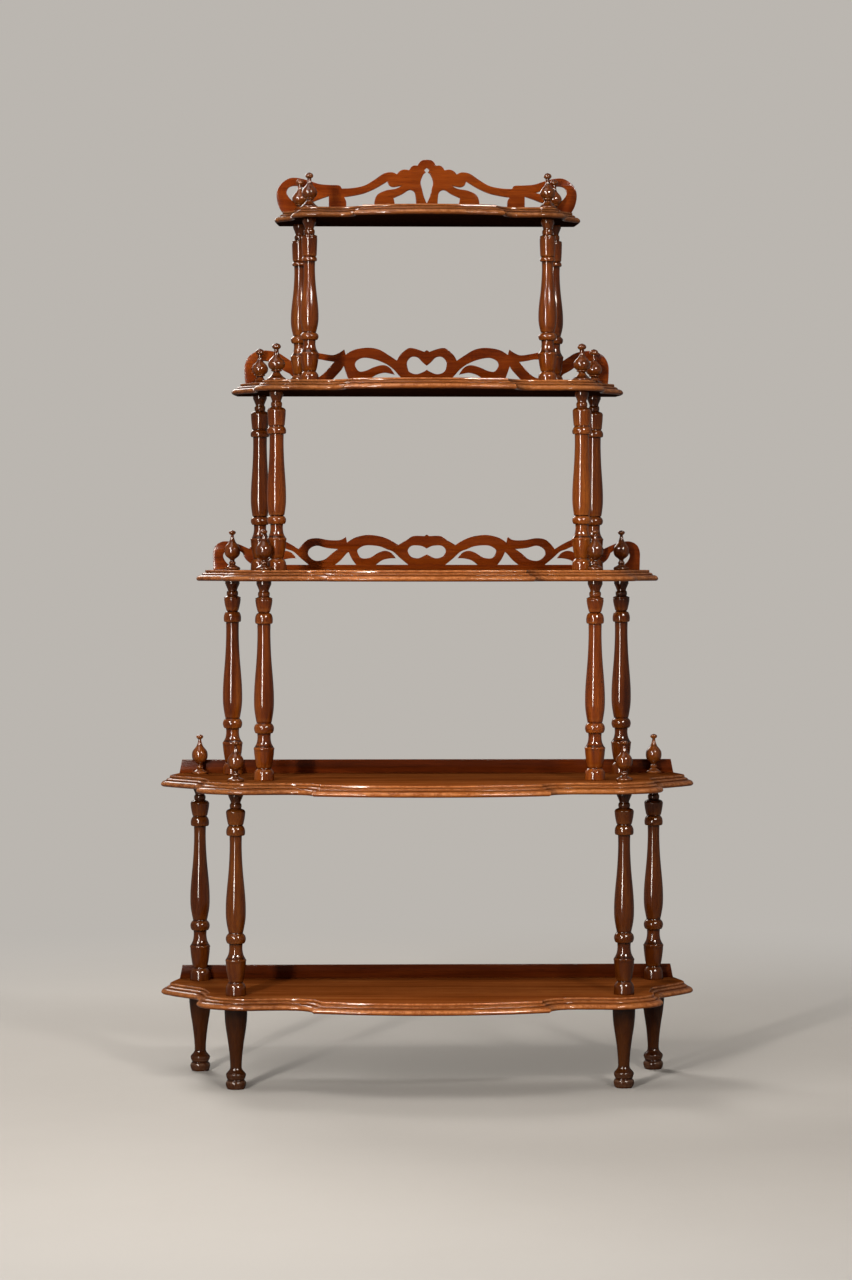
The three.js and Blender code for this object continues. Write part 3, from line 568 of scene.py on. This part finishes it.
def add_values(mesh, **values):
    """Give each point of a mesh the named numbers that its wood reads."""
    for name, numbers in values.items():
        mesh.attributes.new(name, "FLOAT", "POINT").data.foreach_set("value", numbers)


def placed(name, data):
    """A new object in the scene."""
    obj = bpy.data.objects.new(name, data)
    bpy.context.scene.collection.objects.link(obj)
    return obj


def finish_mesh(mesh, tones, node):
    """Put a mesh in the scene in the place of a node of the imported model."""
    add_values(mesh, tone=tones)
    mesh.shade_smooth()
    mesh.set_sharp_from_angle(angle=sharp_angle)
    obj = placed(mesh.name, mesh)
    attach(obj, "root")
    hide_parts(node)


def stacked_mesh(name, rings, dirt_and_shade_line, rub_line):
    """A solid from closed rings of points, the lowest first, with values for each ring. Its last
    two faces are its top and its underside."""
    size = len(rings[0])
    vertices = [point for ring in rings for point in ring]
    faces = []
    for level in range(len(rings) - 1):
        first = level * size
        second = first + size
        for n in range(size):
            turn = (n + 1) % size
            faces.append((first + n, first + turn, second + turn, second + n))
    faces.append(tuple(range(len(vertices) - size, len(vertices))))
    faces.append(tuple(reversed(range(size))))
    mesh = bpy.data.meshes.new(name)
    mesh.from_pydata(vertices, [], faces)
    add_values(mesh, recess=[value for value in dirt_and_shade_line for _ in rings[0]],
               rub=[value for value in rub_line for _ in rings[0]])
    return mesh


# Turned pieces

def wear_values(profile):
    """How far each point of a profile lies in a recess or on a ridge, from 0 to 1."""
    lengths = lengths_along(profile)
    recess = []
    rub = []
    for n, point in enumerate(profile):
        near = [p[0] for p, s in zip(profile, lengths) if abs(s - lengths[n]) < recess_reach]
        offset = (sum(near) / len(near) - point[0]) / recess_depth
        recess.append(min(max(offset, 0), 1))
        rub.append(min(max(-offset, 0), 1))
    return recess, rub


def lathe_mesh(name, profile, place, base, painted_shade):
    """A turned solid from (radius, height) points round an axis, with painted shade at its top."""
    dirt_and_shade_line, rub_line = wear_values(profile)
    top = profile[-1][1]
    angles = [2 * math.pi * side / turned_sides for side in range(turned_sides)]
    rings = []
    for n, (radius, height) in enumerate(profile):
        # Painted shade under the shelf darkens the piece's top, carried with the dirt of its recesses
        near_top = max(1 - (top - height) / painted_shade_reach, 0)
        dirt_and_shade_line[n] = max(dirt_and_shade_line[n], painted_shade * near_top)
        rings.append([(place[0] + radius * math.cos(angle), place[1] + radius * math.sin(angle),
                       base + height) for angle in angles])
    return stacked_mesh(name, rings, dirt_and_shade_line, rub_line)


def sized_runs(run_shares, height, radius, base):
    return [[(radius * across, base + height * up) for up, across in run] for run in run_shares]


def capital_run_shares(shape):
    """A bay's capital, as shares of its height and of the post's radius."""
    high = shape["collar_height"]
    wide = shape["collar"]
    foot = shape["foot"]
    waist = between(shape["waist"], belly_share, shaft_shares[-1][1])
    collar = [[(up * high, out * wide) for up, out in run] for run in collar_run_shares]
    groove = (high, foot - groove_sink_share)
    barrel = [(between(high, shoulder_height_share, up), between(foot, shape["top"], out))
              for up, out in barrel_shares]
    shoulder = (shoulder_height_share, shape["top"] - groove_sink_share / 2)
    neck = [[shoulder] + neck_run_shares[0]] + neck_run_shares[1:]
    under = [(0, waist), (0, collar[0][0][1])]
    return [under] + collar + [[collar[-1][-1], groove, barrel[0]], barrel + [shoulder]] + neck


def post_profile(bay, shape):
    """A bay's post from its foot up, as points of radius and height."""
    radius = bay["radius"]
    ring = bay["ring"]
    capital_base = bay["clear"] - capital_height
    shaft = [(up, between(shape["waist"], belly_share, out)) for up, out in shaft_shares]
    ring_runs = ring_run_shares[:-1] + [ring_run_shares[-1] + [shaft[0]]]
    runs = sized_runs(foot_run_shares, ring, radius, 0)
    runs += sized_runs(ring_runs + [shaft], capital_base - ring, radius, ring)
    runs += sized_runs(capital_run_shares(shape), capital_height, radius, capital_base)
    return joined_runs(runs, span_steps, arris_radius)


def plain_profile(run_shares, height, radius):
    """A finial or a leg from its foot up, as points of radius and height."""
    return joined_runs(sized_runs(run_shares, height, radius, 0), span_steps, arris_radius)


def swung_tone(swing, row, number):
    """A steady difference in tone from piece to piece."""
    wave = math.sin(row_turn * (swing["row"] + row) + corner_turn * (number + 1))
    return swing["middle"] + swing["spread"] * wave


def add_turned(prefix, profile, bay, base, tones, material, painted_shade=0):
    """The same turned piece at the four corners of a bay."""
    for number, (corner, side, front) in enumerate(corners):
        half = bay["front"] if front else bay["rear"]
        place = (side * half, rear_row - (bay["depth"] if front else 0))
        node = f"{prefix}_{corner}"
        mesh = lathe_mesh(node + "_turned", profile, place, base, painted_shade)
        mesh.materials.append(material)
        finish_mesh(mesh, [tones[number]] * len(mesh.vertices), node)


def add_posts(material):
    for index, bay in enumerate(bays):
        profile = post_profile(bay, post_shape_shares[index])
        add_turned(f"post_{index + 1}", profile, bay, shelf_tops[index + 1], post_tones[index],
                   material, painted_shelf_shade_share)


def add_finials(material):
    for index, bay in enumerate(bays):
        sizes = finials[index]
        profile = plain_profile(sizes["run_shares"], sizes["height"], sizes["radius"])
        tones = [swung_tone(finial_swing, index, number) for number in range(len(corners))]
        add_turned(f"finial_{index + 1}", profile, bay, shelf_tops[index], tones, material)


def add_legs(material):
    profile = plain_profile(leg_run_shares, leg_height, leg_radius)
    tones = [swung_tone(leg_swing, 0, number) for number in range(len(corners))]
    add_turned("leg", profile, bays[-1], 0, tones, material, painted_shelf_shade_share)


# Shelves

def bow_run(cusp, front, rise):
    """The arc of a shelf's front between its cusps, from left to right."""
    radius = (cusp * cusp + rise * rise) / (2 * rise)
    sweep = math.asin(cusp / radius)
    line = []
    for step in range(bow_samples + 1):
        angle = between(-sweep, sweep, step / bow_samples)
        line.append((radius * math.sin(angle), front + radius * (1 - math.cos(angle))))
    return line


def trace_extent(trace):
    """A traced board's half span, top, base, and half the length it stands on, in pixels."""
    points = [point for run in trace["edge"] for point in run]
    half_span = max(x for x, y in points)
    top = min(y for x, y in points)
    base = max(y for x, y in points)
    foot_half = max(x for x, y in points if y == base)
    return half_span, top, base, foot_half


def board_base_half(shelf):
    """Half the length on which a shelf's gallery or rail stands."""
    if shelf >= len(galleries):
        return rail_half
    half_span, _, _, foot_half = trace_extent(galleries[shelf]["trace"])
    return foot_half * galleries[shelf]["half"] / half_span


def outline_runs(plan, shelf):
    """The outermost outline as six runs, anticlockwise from the front, each with its number of
    points and whether it is moulded."""
    bay = bays[plan["bay"]]
    front_row = rear_row - bay["depth"]
    bow_front = front_row - plan["bow"]
    rise = plan["cusp"] * bow_rise_share
    cusp_y = bow_front + rise
    ear_front = front_row - plan["ear"]
    ear_half = bay["front"] + plan["beyond"]
    tip_y = rear_row - lobe_tip_ahead
    rear_half = board_base_half(shelf) + board_margin + moulding_width
    sweep = [(between(plan["cusp"], ear_half, a), between(cusp_y, ear_front, b))
             for a, b in sweep_shares]
    ear_end = [(between(plan["cusp"], ear_half, a), between(ear_front, tip_y, b))
               for a, b in ear_end_shares]
    notch = ear_end[-1]
    lobe = [(between(notch[0], plan["half"], a), between(notch[1], tip_y, b))
            for a, b in lobe_shares]
    ear = smooth_run(sweep + ear_end, outline_samples)
    tip = smooth_run([notch] + lobe + [(rear_half, rear_edge)], outline_samples)
    back = [tip[-1], (-rear_half, rear_edge)]
    return [
        (bow_run(plan["cusp"], bow_front, rise), run_counts["bow"], True),
        (ear, run_counts["ear"], True),
        (tip, run_counts["lobe"], True),
        (back, run_counts["back"], False),
        (mirrored(tip), run_counts["lobe"], True),
        (mirrored(ear), run_counts["ear"], True),
    ]


def lengthened(a, b, reach):
    """The point that lies beyond b on the way from a."""
    length = distance(a, b)
    return (b[0] + (b[0] - a[0]) / length * reach, b[1] + (b[1] - a[1]) / length * reach)


def inset_run(points, inset):
    """A run moved inwards and lengthened at both ends, so that it crosses its neighbours."""
    last = len(points) - 1
    moved = []
    for n, point in enumerate(points):
        after = points[min(n + 1, last)]
        before = points[max(n - 1, 0)]
        length = distance(after, before)
        along = ((after[0] - before[0]) / length, (after[1] - before[1]) / length)
        moved.append((point[0] - along[1] * inset, point[1] + along[0] * inset))
    start = lengthened(moved[1], moved[0], crossing_reach)
    end = lengthened(moved[-2], moved[-1], crossing_reach)
    return [start] + moved + [end]


def segment_crossing(a, b, c, d):
    """Where the segment from a to b crosses the one from c to d, or None."""
    first = (b[0] - a[0], b[1] - a[1])
    second = (d[0] - c[0], d[1] - c[1])
    turn = first[0] * second[1] - first[1] * second[0]
    if turn == 0:
        return None
    offset = (c[0] - a[0], c[1] - a[1])
    first_share = (offset[0] * second[1] - offset[1] * second[0]) / turn
    second_share = (offset[0] * first[1] - offset[1] * first[0]) / turn
    if 0 <= first_share <= 1 and 0 <= second_share <= 1:
        return (a[0] + first[0] * first_share, a[1] + first[1] * first_share)
    return None


def corner_between(run, following):
    """Where a run last meets the one after it, its last point before and that one's first after."""
    for n in range(len(run) - 2, -1, -1):
        for m in range(len(following) - 1):
            point = segment_crossing(run[n], run[n + 1], following[m], following[m + 1])
            if point:
                return point, n, m + 1
    raise ValueError("two runs of a shelf's outline don't meet")


def even_points(points, count):
    """Points at even distances along a run, without its last one."""
    lengths = lengths_along(points)
    line = []
    n = 1
    for step in range(count):
        wanted = lengths[-1] * step / count
        while lengths[n] < wanted:
            n += 1
        share = (wanted - lengths[n - 1]) / max(lengths[n] - lengths[n - 1], least_length)
        line.append(tuple(between(points[n - 1][k], points[n][k], share) for k in range(2)))
    return line


def inset_outline(runs, inset):
    """The closed outline of one level of the moulding."""
    moved = [inset_run(points, inset if moulded else 0) for points, _, moulded in runs]
    meetings = [corner_between(run, moved[(n + 1) % len(moved)]) for n, run in enumerate(moved)]
    outline = []
    for n, run in enumerate(moved):
        start, _, first_kept = meetings[n - 1]
        end, last_kept, _ = meetings[n]
        kept = run[first_kept:last_kept + 1]
        outline += even_points([start] + kept + [end], runs[n][1])
    return outline


def shelf_mesh(name, runs, top):
    """A board built up level by level from its underside."""
    levels = joined_runs(moulding_run_shares, moulding_steps, moulding_arris_share)
    rings = []
    dirt_and_shade_line = []
    rub_line = []
    for inset, depth in reversed(levels):
        outline = inset_outline(runs, inset * moulding_width)
        rings.append([(x, y, top - depth * shelf_thickness) for x, y in outline])
        dirt_and_shade_line.append(share_at(edge_dirt_and_shade_shares, depth))
        rub_line.append(share_at(edge_rub_shares, depth))
    return stacked_mesh(name, rings, dirt_and_shade_line, rub_line)


def ear_tone(x, cusp, tone):
    """A shelf's tone at a place across it: handled and dirtier beyond the bow."""
    share = min(max((abs(x) - cusp) / ear_fade, 0), 1)
    return tone + ear_tones[-1 if x < 0 else 1] * share


def add_shelves(board_materials):
    for index, plan in enumerate(shelf_plans):
        mesh = shelf_mesh(f"shelf_{index + 1}_board", outline_runs(plan, index), shelf_tops[index])
        for material in board_materials:
            mesh.materials.append(material)
        places = [vertex.co for vertex in mesh.vertices]
        for face in mesh.polygons:
            at_back = all(abs(places[v].y - rear_edge) < back_reach for v in face.vertices)
            face.material_index = bare_shaded_index if at_back else edge_index
        mesh.polygons[-2].material_index = top_index
        mesh.polygons[-1].material_index = bare_shaded_index
        tones = [ear_tone(place.x, plan["cusp"], shelf_tones[index]) for place in places]
        finish_mesh(mesh, tones, f"shelf_{index + 1}")


# Galleries and rails

def traced_line(runs, to_size):
    """Traced runs as one line at real size, without points that fall together."""
    line = []
    for run in runs:
        for point in smooth_run([to_size(p) for p in run], fret_steps):
            if not line or distance(point, line[-1]) > point_gap:
                line.append(point)
    return line


def whole_line(half):
    """The right half of a closed line and its mirror image."""
    return half + [p for p in mirrored(half) if abs(p[0]) > point_gap]


def flat_board(name, lines):
    """A lying board with eased edges from closed lines, the first its edge."""
    curve = bpy.data.curves.new(name, "CURVE")
    curve.dimensions = "2D"
    curve.fill_mode = "BOTH"
    curve.extrude = board_thickness / 2 - fret_arris
    curve.bevel_depth = fret_arris
    curve.bevel_resolution = fret_arris_steps
    curve.offset = -fret_arris
    for line in lines:
        if distance(line[0], line[-1]) < point_gap:
            line = line[:-1]
        spline = curve.splines.new("POLY")
        spline.points.add(len(line) - 1)
        for point, (x, y) in zip(spline.points, line):
            point.co = (x, y, 0, 1)
        spline.use_cyclic_u = True
    holder = placed(name + "_line", curve)
    bpy.context.view_layer.update()
    evaluated = holder.evaluated_get(bpy.context.evaluated_depsgraph_get())
    mesh = bpy.data.meshes.new_from_object(evaluated)
    mesh.name = name
    bpy.data.objects.remove(holder)
    return mesh


def add_board(node, lines, base, material, tone):
    """A board stood on its shelf along the rear edge, rubbed everywhere but on its faces."""
    mesh = flat_board(node + "_board", lines)
    middle = rear_edge - board_thickness / 2
    work = bmesh.new()
    work.from_mesh(mesh)
    bmesh.ops.remove_doubles(work, verts=work.verts, dist=weld_gap)
    for vertex in work.verts:
        x, y, z = vertex.co
        vertex.co = (x, middle - z, base + y)
    bmesh.ops.recalc_face_normals(work, faces=work.faces)
    work.to_mesh(mesh)
    work.free()
    rub = []
    for vertex in mesh.vertices:
        inside = board_thickness / 2 - abs(vertex.co.y - middle)
        rub.append(1.0 if inside > fret_arris * eased_share else 0.0)
    add_values(mesh, recess=[0.0] * len(rub), rub=rub)
    mesh.materials.append(material)
    finish_mesh(mesh, [tone] * len(rub), node)


def add_galleries(material):
    for index, gallery in enumerate(galleries):
        trace = gallery["trace"]
        half_span, top, base, _ = trace_extent(trace)
        across = gallery["half"] / half_span
        up = gallery["height"] / (base - top)

        def to_size(point):
            return (point[0] * across, (base - point[1]) * up)

        lines = [whole_line(traced_line(trace["edge"], to_size))]
        lines += [whole_line(traced_line(runs, to_size)) for runs in trace["middle"]]
        for runs in trace["openings"]:
            line = traced_line(runs, to_size)
            lines += [line, mirrored(line)]
        for runs in trace["repeated"]:
            line = traced_line(runs, to_size)
            copy = [(x + gallery["half"] * loop_repeat_share, y) for x, y in line]
            lines += [line, mirrored(line), copy, mirrored(copy)]
        add_board(f"gallery_{index + 1}", lines, shelf_tops[index], material,
                  gallery_tones[index])


def add_rails(material):
    top_half = rail_half - rail_end_slant
    line = [(-rail_half, 0), (rail_half, 0), (top_half, rail_height), (-top_half, rail_height)]
    for number, tone in rail_tones.items():
        add_board(f"back_rail_{number}", [line], shelf_tops[number - 1], material, tone)


# Materials

def set_inputs(tree, node, values):
    """Give a node's inputs their values, or link them to sockets."""
    for key, value in values.items():
        if isinstance(value, bpy.types.NodeSocket):
            tree.links.new(value, node.inputs[key])
        else:
            node.inputs[key].default_value = value


def add_node(tree, kind, values=None, **settings):
    node = tree.nodes.new(kind)
    for key, value in settings.items():
        setattr(node, key, value)
    set_inputs(tree, node, values or {})
    return node


def stretched_noise(tree, coordinates, values, axis):
    """Noise with one scale along an axis and another across it."""
    along, across, detail, roughness, distortion = values
    scale = tuple(along if n == axis else across for n in range(3))
    mapping = add_node(tree, "ShaderNodeMapping", {"Vector": coordinates, "Scale": scale})
    noise = add_node(tree, "ShaderNodeTexNoise", {
        "Vector": mapping.outputs["Vector"], "Scale": 1, "Detail": detail,
        "Roughness": roughness, "Distortion": distortion})
    return noise.outputs["Fac"]


def mesh_value(tree, name):
    return add_node(tree, "ShaderNodeAttribute", attribute_name=name).outputs["Fac"]


def ranged(tree, value, low, high, to_low, to_high):
    """A value from low to high, turned into one from to_low to to_high."""
    node = add_node(tree, "ShaderNodeMapRange", {
        "Value": value, "From Min": low, "From Max": high, "To Min": to_low, "To Max": to_high})
    return node.outputs["Result"]


def combined(tree, operation, a, b):
    """Two values, each a number or a socket, brought together by an operation."""
    node = add_node(tree, "ShaderNodeMath", {0: a, 1: b}, operation=operation)
    return node.outputs["Value"]


def shared_sum(tree, values, shares):
    """The sum of some named values, each by its share."""
    parts = [combined(tree, "MULTIPLY", values[name], share) for name, share in shares.items()]
    total = parts[0]
    for part in parts[1:]:
        total = combined(tree, "ADD", total, part)
    return total


def blended(tree, share, a, b):
    """Two colours, each a tuple or a socket, mixed by a socket."""
    colours = [(*colour, 1) if isinstance(colour, tuple) else colour for colour in (a, b)]
    values = {0: share, **dict(zip(mix_colour_inputs, colours))}
    node = add_node(tree, "ShaderNodeMix", values, data_type="RGBA")
    return node.outputs[mix_colour_output]


def grain_colour(tree, figure, dark, middle, light):
    """The grain's three colours, spread over its figure."""
    ramp = add_node(tree, "ShaderNodeValToRGB", {"Fac": figure})
    first, last = ramp.color_ramp.elements
    first.position = grain_stops["dark"]
    first.color = (*dark, 1)
    last.position = grain_stops["light"]
    last.color = (*light, 1)
    ramp.color_ramp.elements.new(grain_stops["middle"]).color = (*middle, 1)
    return ramp.outputs["Color"]


def wood(name, axis, dark, middle, light, worn, dirt_and_shade, rough, rub_share, coat):
    """Mahogany whose grain runs along one axis, under a coat of polish that alone shines."""
    material = bpy.data.materials.new(name)
    material.use_nodes = True
    tree = material.node_tree
    coordinates = add_node(tree, "ShaderNodeTexCoord").outputs["Object"]
    noises = {key: stretched_noise(tree, coordinates, values, axis)
              for key, values in wood_noises.items()}
    recess = mesh_value(tree, "recess")
    rub = mesh_value(tree, "rub")
    tone = mesh_value(tree, "tone")

    figure = shared_sum(tree, noises, figure_shares)
    colour = grain_colour(tree, figure, dark, middle, light)
    colour = blended(tree, ranged(tree, noises["pores"], *pore_range), colour, dirt_and_shade)
    colour = blended(tree, ranged(tree, noises["patches"], *patch_range), colour, dark)
    rubbed = combined(tree, "MULTIPLY", rub, ranged(tree, noises["grit"], *rub_range))
    colour = blended(tree, combined(tree, "MULTIPLY", rubbed, rub_share), colour, worn)
    # The recess value darkens with dirt in grooves and with painted shade under shelves and under the
    # moulding
    dirt_and_shade_share = combined(tree, "MULTIPLY", recess, ranged(tree, noises["grit"], *dirt_and_shade_range))
    colour = blended(tree, dirt_and_shade_share, colour, dirt_and_shade)
    shade = add_node(tree, "ShaderNodeHueSaturation", {
        "Color": colour, "Value": ranged(tree, tone, *tone_range)})

    patchy = ranged(tree, noises["patches"], *rough_patch_range, rough, rough + patch_roughness)
    sunk = combined(tree, "MULTIPLY", recess, recess_roughness)
    bump = add_node(tree, "ShaderNodeBump", {
        "Strength": bump_strength, "Distance": bump_distance,
        "Height": shared_sum(tree, noises, bump_shares)})
    set_inputs(tree, tree.nodes["Principled BSDF"], {
        "Base Color": shade.outputs["Color"], "Roughness": combined(tree, "ADD", patchy, sunk),
        "Normal": bump.outputs["Normal"], "Specular IOR Level": 0,
        "Coat Weight": coat, "Coat Roughness": coat_roughness})
    return material


# Camera, floor and light

def add_camera():
    forward = Vector((math.sin(yaw), math.cos(yaw), 0))
    rightward = Vector((math.cos(yaw), -math.sin(yaw), 0))
    target = Vector((0, rear_row - bays[-1]["depth"], camera_height))
    data = bpy.data.cameras.new("camera")
    data.sensor_fit = "HORIZONTAL"
    data.sensor_width = sensor_millimetres
    data.lens = focal_pixels / picture_width * sensor_millimetres
    camera = placed("camera", data)
    camera.location = target - forward * front_distance - rightward * sideways
    camera.rotation_euler = (math.pi / 2 - pitch, 0, -yaw)
    bpy.context.scene.camera = camera


def background_strength(tree):
    """Bright to the eye and in reflections, and faint in the light that it gives."""
    rays = add_node(tree, "ShaderNodeLightPath").outputs
    mirrored_rays = combined(tree, "MAXIMUM", rays["Is Glossy Ray"], rays["Is Transmission Ray"])
    seen = combined(tree, "MAXIMUM", rays["Is Camera Ray"], mirrored_rays)
    return ranged(tree, seen, 0, 1, background_light, background_seen)


def floor_material():
    """Matt paint that keeps the shadow and turns into the background further out."""
    material = bpy.data.materials.new("floor_paint")
    material.use_nodes = True
    tree = material.node_tree
    place = add_node(tree, "ShaderNodeTexCoord").outputs["Object"]
    mottle = stretched_noise(tree, place, mottle_noise, 0)
    paint = tree.nodes["Principled BSDF"]
    set_inputs(tree, paint, {
        "Base Color": blended(tree, mottle, floor_dark, floor_light),
        "Roughness": floor_roughness, "Specular IOR Level": 0})
    glow = add_node(tree, "ShaderNodeEmission", {
        "Color": (*background_colour, 1), "Strength": background_strength(tree)})
    away = add_node(tree, "ShaderNodeVectorMath", {0: place}, operation="LENGTH")
    distances = {"Value": away.outputs["Value"], "From Min": fade_start, "From Max": fade_end}
    fade = add_node(tree, "ShaderNodeMapRange", distances, interpolation_type="SMOOTHSTEP")
    seamless = add_node(tree, "ShaderNodeMixShader", {
        0: fade.outputs["Result"], 1: paint.outputs[0], 2: glow.outputs[0]})
    set_inputs(tree, tree.nodes["Material Output"], {"Surface": seamless.outputs[0]})
    return material


def add_surroundings():
    ends = ((-1, -1), (1, -1), (1, 1), (-1, 1))
    mesh = bpy.data.meshes.new("floor")
    mesh.from_pydata([(x * floor_half, y * floor_half, 0) for x, y in ends], [], [(0, 1, 2, 3)])
    mesh.materials.append(floor_material())
    floor = placed("floor", mesh)
    world = bpy.data.worlds.new("studio")
    bpy.context.scene.world = world
    world.use_nodes = True
    tree = world.node_tree
    set_inputs(tree, tree.nodes["Background"], {
        "Color": (*background_colour, 1), "Strength": background_strength(tree)})


def add_lamp(name, place, aim, size, power, colour, gloss_only=False):
    data = bpy.data.lights.new(name, "AREA")
    data.shape = "RECTANGLE"
    data.size, data.size_y = size
    data.energy = power
    data.color = colour
    lamp = placed(name, data)
    lamp.location = place
    beam = Vector((0, 0, aim)) - Vector(place)
    lamp.rotation_euler = beam.to_track_quat("-Z", "Y").to_euler()
    lamp.visible_camera = False
    lamp.visible_diffuse = not gloss_only


materials = {name: wood(name, **values) for name, values in woods.items()}
add_shelves([materials[name] for name in shelf_woods])
add_galleries(materials["fret_wood_polish"])
add_rails(materials["rail_wood_polish"])
add_posts(materials["post_wood_polish"])
add_finials(materials["finial_wood_polish"])
add_legs(materials["leg_wood_polish"])
add_camera()
add_surroundings()
for lamp_values in lamps:
    add_lamp(**lamp_values)

bpy.context.scene.view_settings.view_transform = "Standard"
